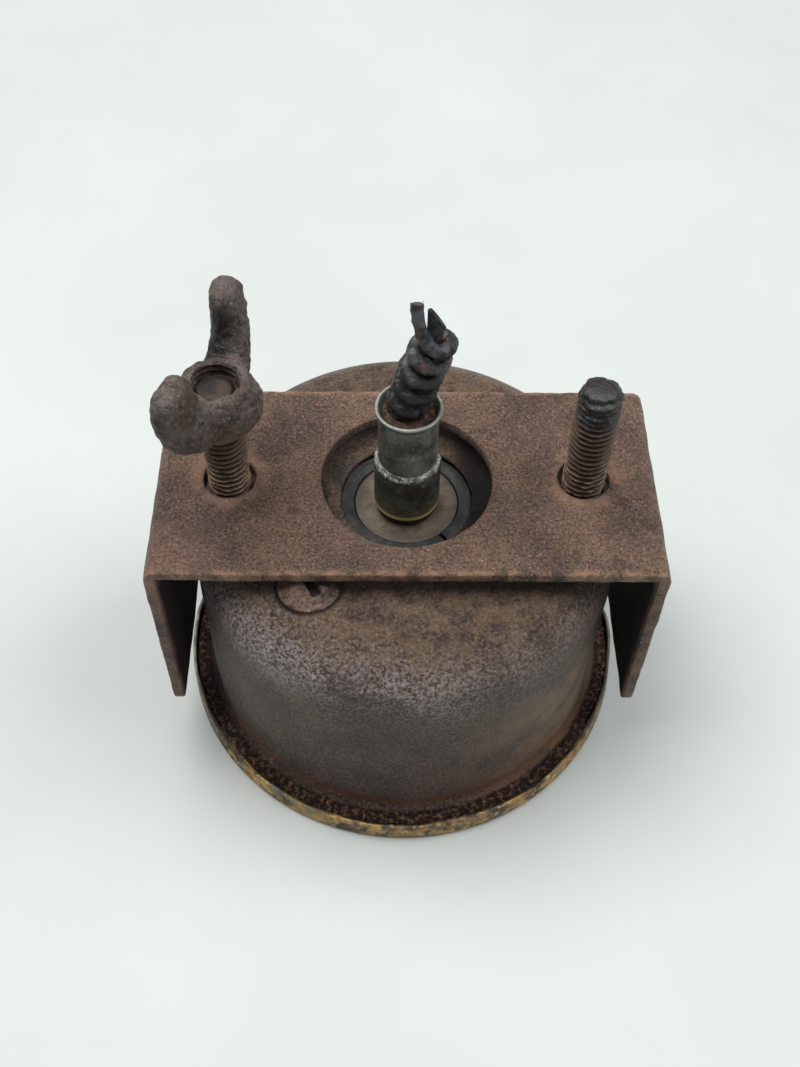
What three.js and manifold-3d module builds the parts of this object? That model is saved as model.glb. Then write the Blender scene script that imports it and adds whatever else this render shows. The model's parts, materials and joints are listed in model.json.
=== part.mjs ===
// Panel dial gauge with a clamp bracket and an armoured capillary.
// Millimetres, +Z up. The gauge lies on its face: the dial looks down (-Z), the back looks up.
// The origin is the centre of the bezel's front face, and +Y is the top of the dial.

import * as THREE from 'three';
import { mergeVertices } from 'three/addons/utils/BufferGeometryUtils.js';
import Module from 'manifold-3d';

const wasm = await Module();
wasm.setup();

// ---------------------------------------------------------------- driving dimensions

// Case and front
const caseRadius = 25.7;
const caseDepth = 30.2;
const caseWall = 0.8;
const shoulderReach = 4.0;
const shoulderDrop = 6.4;
const flangeWidth = 2.3;
const bezelSheet = 0.5;
const bezelOverlap = 2.0;
const bezelLipRise = 0.4;
const glassThickness = 1.2;
const gasketThickness = 0.5;
const dialDepth = 2.9;
const dialThickness = 0.5;

// Bracket, studs and wing nut
const bracketSideGap = 2.0;
const bracketSheet = 1.5;
const bracketDepth = 27.5;
const bendRadius = 1.9;
const legCornerRadius = 1.3;
const panelGap = 4.8;
const bracketHoleRadius = 9.85;
const studRadius = 2.5;
const studInset = 5.2;
const studClearance = 0.45;
const studNutHeight = 1.9;
const studNutAcrossFlats = 8.0;
const wingNutStandoff = 10.3;
const wingNutFootRadius = 3.7;
const wingNutRadius = 5.0;
const wingNutTopRadius = 3.3;
const wingNutBody = 5.6;
const wingNutHeight = 13.1;
const wingSpan = 10.3;
const wingThickness = 3.3;
const wingAngle = 79;

// Capillary fitting and armour
const sealRadius = 7.8;
const bossRadius = 6.1;
const neckRadius = 3.8;
const collarRadius = 3.9;
const collarHeight = 7.0;
const collarBevel = 0.7;
const sleeveRadius = 3.4;
const sleeveLipRadius = 3.8;
const sleeveHeight = 8.1;
const capillaryRadius = 0.8;
const capillaryStub = 14.1;
const armourWire = 1.6;
const armourRadius = 1.8;
const armourPitch = 2.2;
const armourTurns = 4.0;
const armourLean = 2.3;
const armourEndRise = 4.3;

// Movement
const gearModule = 0.35;
const pinionTeeth = 12;
const sectorRatio = 6;
const sectorSwing = 42;
const plateThickness = 1.2;
const plateGap = 6.8;
const plateHalfWidth = 8.0;
const arborRadius = 0.7;
const tailRadius = 4.5;
const linkReach = 8.5;
const linkPinRadius = 0.5;
const bourdonThickness = 2.4;
const bourdonWall = 0.35;
const bridgeWidth = 9.0;
const bridgeThickness = 2.2;

// Clearances
const snug = 0.05;
const running = 0.08;
const faceGap = 0.3;

// ---------------------------------------------------------------- derived places

const flangeThickness = caseWall;
const glassFront = bezelSheet;
const glassRear = glassFront + glassThickness;
const flangeFront = glassRear + gasketThickness;
const flangeTop = flangeFront + flangeThickness;
const caseBack = flangeTop + caseDepth;
const innerBack = caseBack - caseWall;
const innerRadius = caseRadius - caseWall;
const flangeRadius = caseRadius + flangeWidth;
const bezelRadius = flangeRadius + snug * 4 + bezelSheet;
const bezelTop = flangeTop + bezelLipRise;
const studOffset = caseRadius - studInset;
const backScrewReach = caseRadius - 8.8;
const bridgeAngle = THREE.MathUtils.degToRad(49.3);
const sealSeat = innerBack - 0.9;

const plateBottom = caseBack + studNutHeight;
const plateTop = plateBottom + bracketSheet;
const legBottom = bezelTop + panelGap;
const bracketHalfWidth = caseRadius + bracketSideGap + bracketSheet;
const wingNutBase = plateTop + wingNutStandoff;
const studTop = wingNutBase + wingNutBody - 0.9;

const neckBottom = sealSeat + 0.6;
const collarBottom = neckBottom + 0.9;
const collarTop = collarBottom + collarHeight + collarBevel;
const sleeveTop = collarTop + sleeveHeight;

const dialFront = glassRear + dialDepth;
const dialRear = dialFront + dialThickness;
const frontPlateFront = dialRear + 2.5;
const frontPlateRear = frontPlateFront + plateThickness;
const backPlateFront = frontPlateRear + plateGap;
const backPlateRear = backPlateFront + plateThickness;
const gearFront = frontPlateRear + 2.2;
const gearThickness = 1.0;
const linkFront = gearFront + gearThickness + 0.4;
const bridgeFront = innerBack - bridgeThickness;
const bourdonMargin = 2.6;
const bourdonFront = backPlateRear + bourdonMargin;
const bourdonRear = bridgeFront - bourdonMargin;
const bourdonRadius = innerRadius - 7.8;

const sectorTeeth = pinionTeeth * sectorRatio;
const pinionPitchRadius = gearModule * pinionTeeth / 2;
const sectorPitchRadius = gearModule * sectorTeeth / 2;
const sectorX = -(pinionPitchRadius + sectorPitchRadius);

// ---------------------------------------------------------------- solids

const RIM = 56;
const ROUND = 36;
const SMALL = 16;

// A welded, closed copy of a geometry as a manifold solid, its faces turned outwards.
function solid(geometry) {
  const bare = new THREE.BufferGeometry();
  bare.setAttribute('position', geometry.getAttribute('position'));
  if (geometry.index) {
    bare.setIndex(geometry.index);
  }
  const welded = mergeVertices(bare, 1e-4);
  const points = welded.getAttribute('position').array;
  const corners = [];
  for (let i = 0; i < welded.index.count; i += 3) {
    const [a, b, c] = [0, 1, 2].map((k) => welded.index.getX(i + k));
    if (a !== b && b !== c && c !== a) {
      corners.push(a, b, c);
    }
  }
  const corner = (i) => new THREE.Vector3().fromArray(points, 3 * corners[i]);
  let volume = 0;
  for (let i = 0; i < corners.length; i += 3) {
    volume += corner(i).dot(corner(i + 1).cross(corner(i + 2)));
  }
  if (volume < 0) {
    corners.reverse();
  }
  const vertProperties = new Float32Array(points);
  const triVerts = new Uint32Array(corners);
  return new wasm.Manifold(new wasm.Mesh({ numProp: 3, vertProperties, triVerts }));
}

const cut = (body, ...tools) => tools.reduce((left, tool) => left.subtract(tool), body);
const join = (...bodies) => bodies.reduce((all, body) => all.add(body));

// A turned piece: [radius, z] pairs of a profile that starts and ends on the axis.
function turned(profile, segments = ROUND) {
  const geometry = new THREE.LatheGeometry(profile.map(([r, z]) => new THREE.Vector2(r, z)), segments);
  return solid(geometry.rotateX(Math.PI / 2));
}

// A turned ring: the same, for a profile that closes on itself.
const turnedRing = (profile, segments = ROUND) => turned([...profile, profile[0]], segments);

const rod = (radius, low, high, segments = SMALL) =>
  turned([[0, low], [radius, low], [radius, high], [0, high]], segments);

// The tool for a round hole: its flats, not its corners, are at the radius.
const hole = (radius, low, high, segments = SMALL) =>
  rod(radius / Math.cos(Math.PI / segments), low, high, segments);

const tube = (outer, inner, low, high, segments = ROUND) =>
  turnedRing([[inner, low], [outer, low], [outer, high], [inner, high]], segments);

// A flat outline in XY, raised from low to high.
function prism(shape, low, high, curveSegments = 12) {
  const options = { depth: high - low, bevelEnabled: false, curveSegments };
  return solid(new THREE.ExtrudeGeometry(shape, options).translate(0, 0, low));
}

function polygon(points) {
  return new THREE.Shape(points.map(([x, y]) => new THREE.Vector2(x, y)));
}

function roundedRectangle(x0, y0, x1, y1, r) {
  const shape = new THREE.Shape();
  shape.absarc(x1 - r, y1 - r, r, 0, Math.PI / 2);
  shape.absarc(x0 + r, y1 - r, r, Math.PI / 2, Math.PI);
  shape.absarc(x0 + r, y0 + r, r, Math.PI, 1.5 * Math.PI);
  shape.absarc(x1 - r, y0 + r, r, 1.5 * Math.PI, 2 * Math.PI);
  return shape;
}

// A bar with round ends between two points.
function capsule([ax, ay], [bx, by], r) {
  const along = Math.atan2(by - ay, bx - ax);
  const shape = new THREE.Shape();
  shape.absarc(bx, by, r, along - Math.PI / 2, along + Math.PI / 2);
  shape.absarc(ax, ay, r, along + Math.PI / 2, along + 1.5 * Math.PI);
  return shape;
}

const moved = (body, x, y, z = 0) => body.translate([x, y, z]);
const polar = (r, angle) => [r * Math.cos(angle), r * Math.sin(angle)];

// A curve in space from a function of t in 0..1.
class Route extends THREE.Curve {
  constructor(point) {
    super();
    this.point = point;
  }

  getPoint(t, target = new THREE.Vector3()) {
    return target.copy(this.point(t));
  }
}

function swept(shape, route, steps, curveSegments) {
  const options = { extrudePath: route, steps, curveSegments, bevelEnabled: false };
  return solid(new THREE.ExtrudeGeometry(shape, options));
}

function circle(r) {
  const shape = new THREE.Shape();
  shape.absarc(0, 0, r, 0, 2 * Math.PI);
  return shape;
}

// ---------------------------------------------------------------- materials and meshes

function finish(color, roughness, metalness) {
  return new THREE.MeshStandardMaterial({ color, roughness, metalness });
}

const finishes = {
  rust: () => finish('#4a3325', 0.85, 0.4),
  darkSteel: () => finish('#3a3734', 0.6, 0.7),
  castIron: () => finish('#463d35', 0.8, 0.5),
  bezelBrass: () => finish('#8a6a33', 0.6, 0.8),
  brass: () => finish('#b08d46', 0.35, 0.9),
  steel: () => finish('#9a9894', 0.35, 0.9),
  rubber: () => finish('#191817', 0.9, 0),
  compound: () => finish('#4a3020', 0.9, 0),
  enamel: () => finish('#171716', 0.6, 0),
  ivory: () => finish('#e8dfc2', 0.6, 0),
  glass: () => Object.assign(finish('#cfd8d4', 0.05, 0), { transparent: true, opacity: 0.3 }),
};

const group = new THREE.Group();

function add(name, body, finishName) {
  const { vertProperties, triVerts } = body.getMesh();
  const geometry = new THREE.BufferGeometry();
  geometry.setAttribute('position', new THREE.BufferAttribute(vertProperties, 3));
  geometry.setIndex(new THREE.BufferAttribute(triVerts, 1));
  geometry.computeVertexNormals();
  const mesh = new THREE.Mesh(geometry, finishes[finishName]());
  mesh.name = name;
  group.add(mesh);
}

// ---------------------------------------------------------------- case and front

const mountingHoleRadius = 1.6;
const backScrewShank = 1.5;
const studPlaces = [['left', -studOffset], ['right', studOffset]];
const backScrewPlaces = [polar(-backScrewReach, bridgeAngle), polar(backScrewReach, bridgeAngle)];

// Half of an ellipse's arc, from the wall up to the flat back.
function shoulder(radius, top, reach, drop, steps = 5) {
  const points = [];
  for (let i = 0; i <= steps; i += 1) {
    const a = (i / steps) * Math.PI / 2;
    points.push([radius - reach + reach * Math.cos(a), top - drop + drop * Math.sin(a)]);
  }
  return points;
}

const caseProfile = [
  [innerRadius, flangeFront],
  [flangeRadius, flangeFront],
  [flangeRadius, flangeTop],
  [caseRadius, flangeTop],
  ...shoulder(caseRadius, caseBack, shoulderReach, shoulderDrop),
  [sealRadius + snug, caseBack],
  [sealRadius + snug, innerBack],
  ...shoulder(innerRadius, innerBack, shoulderReach - caseWall, shoulderDrop - caseWall).reverse(),
];
const caseHoles = [
  ...studPlaces.map(([, x]) => moved(hole(mountingHoleRadius, innerBack - 1, caseBack + 1), x, 0)),
  ...backScrewPlaces.map(([x, y]) => moved(hole(backScrewShank + 0.2, innerBack - 1, caseBack + 1), x, y)),
];
add('case_shell', cut(turnedRing(caseProfile, RIM), ...caseHoles), 'rust');

const bezelOpening = innerRadius - bezelOverlap;
const bezelProfile = [
  [bezelOpening, 0],
  [bezelRadius - bezelSheet, 0],
  [bezelRadius, bezelSheet],
  [bezelRadius, bezelTop],
  [bezelRadius - bezelSheet, bezelTop],
  [bezelRadius - bezelSheet, bezelSheet],
  [bezelOpening, bezelSheet],
];
add('bezel_ring', turnedRing(bezelProfile, RIM), 'bezelBrass');

const glassRadius = bezelRadius - bezelSheet - 2 * snug;
add('glass_lens', rod(glassRadius, glassFront, glassRear, RIM), 'glass');
add('glass_gasket', tube(glassRadius, innerRadius, glassRear, flangeFront, RIM), 'rubber');

const spacerInner = innerRadius - 1.3;
add('spacer_ring', tube(innerRadius - snug * 4, spacerInner, glassRear, dialFront, RIM), 'steel');

const dialBore = 2.5;
const dialPostReach = 6.5;
const dialPostRadius = 1.4;
const dialPostPin = 0.8;
const dialScrewShank = 0.7;
const dialScrewHead = 1.2;
const dialPlaces = [[0, dialPostReach], [0, -dialPostReach]];
const dialHoles = dialPlaces.map(([x, y]) => moved(hole(dialScrewShank + snug * 2, 0, dialRear + 1), x, y));
const dialBlank = tube(innerRadius - snug * 4, dialBore, dialFront, dialRear, RIM);
add('dial_plate', cut(dialBlank, ...dialHoles), 'ivory');

dialPlaces.forEach(([x, y], i) => {
  const post = turned([
    [0, dialRear + 2.0], [dialScrewShank + snug, dialRear + 2.0], [dialScrewShank + snug, dialRear],
    [dialPostRadius, dialRear], [dialPostRadius, frontPlateFront], [dialPostPin, frontPlateFront],
    [dialPostPin, frontPlateRear], [0, frontPlateRear],
  ], SMALL);
  add(`dial_post_${i + 1}`, moved(post, x, y), 'brass');
  const screw = turned([
    [0, dialFront - 0.5], [dialScrewHead - 0.3, dialFront - 0.5], [dialScrewHead, dialFront - 0.25],
    [dialScrewHead, dialFront],
    [dialScrewShank, dialFront], [dialScrewShank, dialRear + 1.8], [0, dialRear + 1.8],
  ], SMALL);
  const slot = prism(roundedRectangle(-1.5, -0.15, 1.5, 0.15, 0.01), dialFront - 0.7, dialFront - 0.25, 1);
  add(`dial_screw_${i + 1}`, moved(cut(screw, slot), x, y), 'steel');
});

// ---------------------------------------------------------------- movement

const plateEnd = sectorX - 3.8;
const platePillars = [[7, 6], [7, -6], [sectorX - 2.5, 6.2]];
const postReach = 8.0;
const postPlaces = [polar(postReach, bridgeAngle), polar(-postReach, bridgeAngle)];
const pillarPin = 0.9;
const pillarRadius = 1.5;
const springStudRadius = 0.4;
const sectorPivot = 0.5;
const springStudPlace = polar(5.7, THREE.MathUtils.degToRad(-100));

const plateOutline = roundedRectangle(plateEnd, -plateHalfWidth, 9.2, plateHalfWidth, 2.6);
const pillarHoles = platePillars.map(([x, y]) => moved(hole(pillarPin + snug, 0, caseBack), x, y));
const sectorPivotHole = moved(hole(sectorPivot + running, 0, caseBack), sectorX, 0);
const pinionHole = hole(arborRadius + running, 0, caseBack);
const frontExtras = [
  ...dialPlaces.map(([x, y]) => moved(hole(dialPostPin + snug, 0, caseBack), x, y)),
  moved(hole(springStudRadius + snug, 0, caseBack), ...springStudPlace),
];
const postHoles = postPlaces.map(([x, y]) => moved(hole(pillarPin + snug, 0, caseBack), x, y));
const plateHoles = [...pillarHoles, sectorPivotHole, pinionHole];
const plateBlank = (low, high) => cut(prism(plateOutline, low, high, 8), ...plateHoles);
add('movement_front_plate', cut(plateBlank(frontPlateFront, frontPlateRear), ...frontExtras), 'brass');
add('movement_back_plate', cut(plateBlank(backPlateFront, backPlateRear), ...postHoles), 'brass');

platePillars.forEach(([x, y], i) => {
  const pillar = turned([
    [0, frontPlateFront], [pillarPin, frontPlateFront], [pillarPin, frontPlateRear],
    [pillarRadius, frontPlateRear], [pillarRadius, backPlateFront], [pillarPin, backPlateFront],
    [pillarPin, backPlateRear], [0, backPlateRear],
  ], SMALL);
  add(`movement_pillar_${i + 1}`, moved(pillar, x, y), 'brass');
});

postPlaces.forEach(([x, y], i) => {
  const post = turned([
    [0, backPlateFront], [pillarPin, backPlateFront], [pillarPin, backPlateRear],
    [pillarRadius, backPlateRear], [pillarRadius, bridgeFront], [pillarPin, bridgeFront],
    [pillarPin, sealSeat - 0.1], [0, sealSeat - 0.1],
  ], SMALL);
  add(`movement_post_${i + 1}`, moved(post, x, y), 'brass');
});

const springStudTop = frontPlateRear + 1.7;
const springStud = rod(springStudRadius, frontPlateFront, springStudTop, 12);
add('spring_stud', moved(springStud, ...springStudPlace), 'brass');

// The hairspring: a flat strip wound as a spiral, from the arbor's collar to its stud.
const springFront = frontPlateRear + 0.9;
const springHeight = 0.5;
const springStrip = 0.22;
function spiralOutline(inner, outer, turns, end) {
  const steps = Math.round(turns * 16);
  const side = (offset) => Array.from({ length: steps + 1 }, (_, i) => {
    const t = i / steps;
    return polar(inner + (outer - inner) * t + offset, end - (1 - t) * turns * 2 * Math.PI);
  });
  return polygon([...side(springStrip / 2), ...side(-springStrip / 2).reverse()]);
}
const springOutline = spiralOutline(1.75, 5.05, 3.5, THREE.MathUtils.degToRad(-100));
add('hairspring', prism(springOutline, springFront, springFront + springHeight), 'brass');

// Involute teeth: half the tooth's angle at radius r falls off as the involute grows.
function toothPoints(teeth, centre, tipRadius, rootRadius, thin) {
  const pressure = THREE.MathUtils.degToRad(20);
  const pitch = gearModule * teeth / 2;
  const base = pitch * Math.cos(pressure);
  const involute = (a) => Math.tan(a) - a;
  const halfAngle = (r) => {
    const a = r > base ? Math.acos(base / r) : 0;
    return (Math.PI / (2 * teeth)) * thin + involute(pressure) - involute(a);
  };
  const radii = [rootRadius, Math.max(base, rootRadius + 0.02), (base + tipRadius) / 2 + 0.05, tipRadius];
  const rising = radii.map((r) => polar(r, centre - halfAngle(r)));
  const falling = radii.map((r) => polar(r, centre + halfAngle(r))).reverse();
  return [...rising, ...falling];
}

const toothThinning = 0.8;
const pinionRoot = pinionPitchRadius - 1.3 * gearModule;
const pinionTip = pinionPitchRadius + 0.85 * gearModule;
const sectorRoot = sectorPitchRadius - 1.3 * gearModule;
const sectorTip = sectorPitchRadius + 0.7 * gearModule;
const pinionStep = 2 * Math.PI / pinionTeeth;
const pinionOutline = [];
for (let i = 0; i < pinionTeeth; i += 1) {
  const centre = Math.PI + (i + 0.5) * pinionStep;
  pinionOutline.push(...toothPoints(pinionTeeth, centre, pinionTip, pinionRoot, toothThinning));
}
const pinionFront = gearFront - 0.2;
const pinionRear = gearFront + gearThickness + 0.2;
const pointerHubFront = glassRear + 0.7;
const pinionArbor = turned([
  [0, pointerHubFront], [arborRadius, pointerHubFront], [arborRadius, frontPlateRear + 0.2],
  [arborRadius + 0.3, frontPlateRear + 0.2], [arborRadius + 0.3, frontPlateRear + 0.7],
  [1.5, frontPlateRear + 0.7], [1.5, frontPlateRear + 1.7], [arborRadius + 0.3, frontPlateRear + 1.7],
  [arborRadius + 0.3, backPlateFront - 0.3], [arborRadius, backPlateFront - 0.3],
  [arborRadius, backPlateRear - 0.2], [0, backPlateRear - 0.2],
], SMALL);
add('pinion_arbor', join(pinionArbor, prism(polygon(pinionOutline), pinionFront, pinionRear)), 'steel');

// The toothed sector, drawn at rest: its tooth 0 meshes, and the rest of its arc waits on one side.
const sectorStep = 2 * Math.PI / sectorTeeth;
const firstTooth = -2;
const lastTooth = Math.ceil(THREE.MathUtils.degToRad(sectorSwing) / sectorStep) + 2;
const fan = [polar(1.0, (firstTooth - 1) * sectorStep)];
for (let i = firstTooth; i <= lastTooth; i += 1) {
  fan.push(...toothPoints(sectorTeeth, i * sectorStep, sectorTip, sectorRoot, toothThinning));
}
fan.push(polar(1.0, (lastTooth + 1) * sectorStep));
const halfSwing = THREE.MathUtils.degToRad(sectorSwing / 2);
const tailAngle = THREE.MathUtils.degToRad(225) + halfSwing;
const tail = polar(tailRadius, tailAngle);
const sectorHub = 2.0;
const sectorArborRadius = 0.85;
const window = prism(capsule(polar(5.5, halfSwing), polar(8.8, halfSwing), 1.6), 0, caseBack, 6);
const sectorGear = join(
  cut(prism(polygon(fan), gearFront, gearFront + gearThickness), window),
  rod(sectorHub, gearFront - 0.4, gearFront + gearThickness),
  prism(capsule([0, 0], tail, 1.1), gearFront, gearFront + gearThickness, 6),
);
const sectorBores = [
  hole(sectorArborRadius + 0.02, 0, caseBack),
  moved(hole(linkPinRadius + 0.02, 0, caseBack), ...tail),
];
add('sector_gear', moved(cut(sectorGear, ...sectorBores), sectorX, 0), 'brass');

const sectorArbor = turned([
  [0, frontPlateFront + 0.2], [sectorPivot, frontPlateFront + 0.2], [sectorPivot, frontPlateRear + 0.3],
  [sectorArborRadius, frontPlateRear + 0.3], [sectorArborRadius, backPlateFront - 0.3],
  [sectorPivot, backPlateFront - 0.3], [sectorPivot, backPlateRear - 0.2], [0, backPlateRear - 0.2],
], SMALL);
add('sector_arbor', moved(sectorArbor, sectorX, 0), 'steel');

const linkThickness = 0.8;
const linkRear = linkFront + linkThickness;
const linkPinPlace = [sectorX + tail[0], tail[1]];
const linkPin = turned([
  [0, gearFront - 0.3], [linkPinRadius, gearFront - 0.3], [linkPinRadius, linkRear + 0.2],
  [0.9, linkRear + 0.2], [0.9, linkRear + 0.5], [0, linkRear + 0.5],
], SMALL);
add('link_pin', moved(linkPin, ...linkPinPlace), 'steel');

// The link keeps its direction while the sector swings, so its far hole is a slot
// that the tip pin has room in over the whole swing.
const linkDirection = THREE.MathUtils.degToRad(-45);
const slide = tailRadius * Math.sin(halfSwing);
const sideways = tailRadius * (1 - Math.cos(halfSwing));
const fromPin = (along, across) => {
  const [x, y] = polar(along, linkDirection);
  const [u, v] = polar(across, linkDirection + Math.PI / 2);
  return [linkPinPlace[0] + x + u, linkPinPlace[1] + y + v];
};
const slotMiddle = linkReach;
const slotOffset = -sideways / 2;
const slotRadius = sideways / 2 + linkPinRadius + 0.2;
const linkOutline = capsule(linkPinPlace, fromPin(slotMiddle + slide, slotOffset), slotRadius + 0.7);
const linkSlot = capsule(
  fromPin(slotMiddle - slide, slotOffset),
  fromPin(slotMiddle + slide, slotOffset),
  slotRadius,
);
const linkHole = moved(hole(linkPinRadius + running, 0, caseBack), ...linkPinPlace);
const linkBar = cut(prism(linkOutline, linkFront, linkRear, 8), prism(linkSlot, 0, caseBack, 8), linkHole);
add('link_bar', linkBar, 'steel');

// The tip pin stands where the link's slot is at mid-swing.
const middleTail = polar(tailRadius, THREE.MathUtils.degToRad(225));
const tipPinPlace = [0, 1].map((k) => [sectorX, 0][k] + middleTail[k] + polar(linkReach, linkDirection)[k]);
const tipLug = 1.4;
const tipPin = turned([
  [0, linkFront - 0.5], [linkPinRadius, linkFront - 0.5], [linkPinRadius, bourdonFront + tipLug],
  [0, bourdonFront + tipLug],
], SMALL);
add('tip_pin', moved(tipPin, ...tipPinPlace), 'steel');

// ---------------------------------------------------------------- Bourdon tube and its socket

const tipAngle = Math.atan2(tipPinPlace[1], tipPinPlace[0]) + 2 * Math.PI;
const tipBlock = 2.6;
const armAngle = THREE.MathUtils.degToRad(-20);
const armHalfWidth = 2.0;
const tubeInner = bourdonRadius - bourdonThickness / 2;
const tubeOuter = bourdonRadius + bourdonThickness / 2;
const tubeStart = armAngle + Math.asin((armHalfWidth + snug) / tubeInner);
const tubeEnd = tipAngle - Math.asin((tipBlock / 2 + snug * 2) / tubeInner);
const bourdonWidth = bourdonRear - bourdonFront;
const bourdonMiddle = (bourdonRear + bourdonFront) / 2;

const flatHalf = (bourdonWidth - bourdonThickness) / 2;
const flatTube = capsule([-flatHalf, 0], [flatHalf, 0], bourdonThickness / 2);
const flatBore = capsule([-flatHalf, 0], [flatHalf, 0], bourdonThickness / 2 - bourdonWall);
flatTube.holes.push(new THREE.Path(flatBore.getPoints(3)));
const bourdonRoute = new Route((t) => {
  const [x, y] = polar(bourdonRadius, tubeStart + (tubeEnd - tubeStart) * t);
  return new THREE.Vector3(x, y, bourdonMiddle);
});
add('bourdon_tube', swept(flatTube, bourdonRoute, 28, 3), 'brass');

// A flat bar that points along an angle, from one radius to another.
function spoke(angle, inner, outer, halfWidth, low, high) {
  const geometry = new THREE.BoxGeometry(outer - inner, 2 * halfWidth, high - low);
  geometry.translate((outer + inner) / 2, 0, (high + low) / 2);
  return solid(geometry.rotateZ(angle));
}

const pinReach = Math.hypot(...tipPinPlace);
const lugInner = Math.min(pinReach, tubeInner) - 1.0;
const lugOuter = Math.max(pinReach, tubeOuter) + 0.4;
const bourdonTip = join(
  spoke(tipAngle, tubeInner - 0.4, tubeOuter + 0.4, tipBlock / 2, bourdonFront, bourdonRear),
  spoke(tipAngle, lugInner, lugOuter, tipBlock / 2 - 0.1, bourdonFront, bourdonFront + tipLug),
);
const tipPinHole = moved(hole(linkPinRadius + 0.02, 0, bourdonFront + tipLug), ...tipPinPlace);
add('bourdon_tip', cut(bourdonTip, tipPinHole), 'brass');

const socketHalf = 3.6;
const capillaryFoot = bridgeFront - 3;
const socketOutline = roundedRectangle(-socketHalf, -socketHalf, socketHalf, socketHalf, 0.8);
const socketBlock = join(
  prism(socketOutline, bourdonFront, bridgeFront, 4),
  spoke(armAngle, 0, tubeOuter + 0.4, armHalfWidth, bourdonFront, bourdonRear),
);
add('socket_block', cut(socketBlock, hole(capillaryRadius + snug, capillaryFoot, caseBack)), 'brass');

const bridgeHalf = innerRadius - 5.3;
const spigotRadius = 3.0;
const bridgeOutline = roundedRectangle(-bridgeHalf, -bridgeWidth / 2, bridgeHalf, bridgeWidth / 2, 1.5);
const bridgeTurn = THREE.MathUtils.radToDeg(bridgeAngle);
const bridgeBlank = prism(bridgeOutline, bridgeFront, innerBack, 6).rotate([0, 0, bridgeTurn]);
const bridgeHoles = [
  hole(spigotRadius + snug, 0, caseBack),
  hole(sealRadius + snug, sealSeat, caseBack, ROUND),
  ...backScrewPlaces.map(([x, y]) => moved(hole(backScrewShank + snug, 0, caseBack), x, y)),
  ...postHoles,
];
add('base_bridge', cut(bridgeBlank, ...bridgeHoles), 'darkSteel');

// ---------------------------------------------------------------- capillary fitting

add('boss_disc', tube(bossRadius, spigotRadius + snug, sealSeat, neckBottom), 'compound');
add('seal_ring', tube(sealRadius, bossRadius + snug, sealSeat, neckBottom + 0.3), 'rubber');

const spigotDepth = 5.5;
const sleeveSpigot = 2.6;
const sleeveSeat = collarTop - spigotDepth;
const passage = 1.2;
const collarProfile = [
  [passage, bridgeFront],
  [spigotRadius, bridgeFront],
  [spigotRadius, neckBottom],
  [neckRadius, neckBottom],
  [neckRadius, collarBottom],
  [collarRadius, collarBottom + 0.35],
  [collarRadius, collarTop - collarBevel],
  [sleeveRadius + 0.1, collarTop],
  [sleeveSpigot + snug, collarTop],
  [sleeveSpigot + snug, sleeveSeat],
  [passage, sleeveSeat],
];
add('fitting_collar', turnedRing(collarProfile), 'darkSteel');

const sleeveBore = 2.95;
const plugDepth = 2.6;
const plugTop = sleeveTop - 0.6;
const plugBottom = plugTop - plugDepth;
const sleeveProfile = [
  [passage, sleeveSeat],
  [sleeveSpigot, sleeveSeat],
  [sleeveSpigot, collarTop],
  [sleeveRadius, collarTop],
  [sleeveRadius, sleeveTop - 0.7],
  [sleeveLipRadius, sleeveTop - 0.15],
  [sleeveLipRadius, sleeveTop],
  [sleeveBore + 0.35, sleeveTop],
  [sleeveBore, sleeveTop - 0.6],
  [sleeveBore, plugBottom],
  [passage, plugBottom],
];
add('ferrule_sleeve', turnedRing(sleeveProfile), 'darkSteel');

const plug = tube(sleeveBore - snug, capillaryRadius + snug * 2, plugBottom, plugTop, 32);
add('sealing_plug', plug, 'compound');

// The armour leans to one side, further the higher it goes.
const armourBottom = plugTop + faceGap;
const armourHeight = armourPitch * armourTurns;
const lean = (z) => armourLean * Math.min(1, Math.max(0, z - plugTop) / armourHeight) ** 1.4;
const armourEnd = 0.3;
const armourOffset = 0.4;
const armourRoute = new Route((t) => {
  const turn = t * (armourTurns + armourEnd);
  const past = Math.max(0, turn - armourTurns) / armourEnd;
  const angle = Math.PI + (armourTurns + armourEnd - turn) * 2 * Math.PI;
  const z = armourBottom + armourWire / 2 + turn * armourPitch + armourEndRise * past ** 1.6;
  const [x, y] = polar(armourRadius, angle);
  return new THREE.Vector3(lean(z) + x, armourOffset + y, z);
});
add('armour_spiral', swept(circle(armourWire / 2), armourRoute, 80, 4), 'darkSteel');

const capillaryTop = plugTop + capillaryStub;
const capillaryRoute = new Route((t) => {
  const z = capillaryFoot + (capillaryTop - capillaryFoot) * t;
  const sideways = armourOffset * Math.min(1, Math.max(0, z - plugTop) / 3);
  return new THREE.Vector3(lean(z), sideways, z);
});
add('capillary_tube', swept(circle(capillaryRadius), capillaryRoute, 26, 4), 'steel');

// ---------------------------------------------------------------- studs, nuts and screws

const chamfer = 0.7;
const rivetHead = innerBack - 0.5;
const rivetRadius = 2.2;
for (const [side, x] of studPlaces) {
  const stud = turned([
    [0, rivetHead - 0.5], [rivetRadius - 0.2, rivetHead - 0.5], [rivetRadius, rivetHead],
    [mountingHoleRadius - snug, rivetHead],
    [mountingHoleRadius - snug, caseBack], [studRadius, caseBack], [studRadius, studTop - chamfer],
    [studRadius - chamfer, studTop - 0.2], [studRadius - 1.4, studTop], [0, studTop],
  ]);
  add(`stud_${side}`, moved(stud, x, 0), 'darkSteel');

  const corner = studNutAcrossFlats / 2 / Math.cos(Math.PI / 6);
  const hexagon = polygon(Array.from({ length: 6 }, (_, i) => polar(corner, (i + 0.5) * Math.PI / 3)));
  const nut = cut(prism(hexagon, caseBack, plateBottom), hole(studRadius + snug, 0, plateTop, ROUND));
  add(`stud_nut_${side}`, moved(nut, x, 0), 'darkSteel');
}

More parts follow.
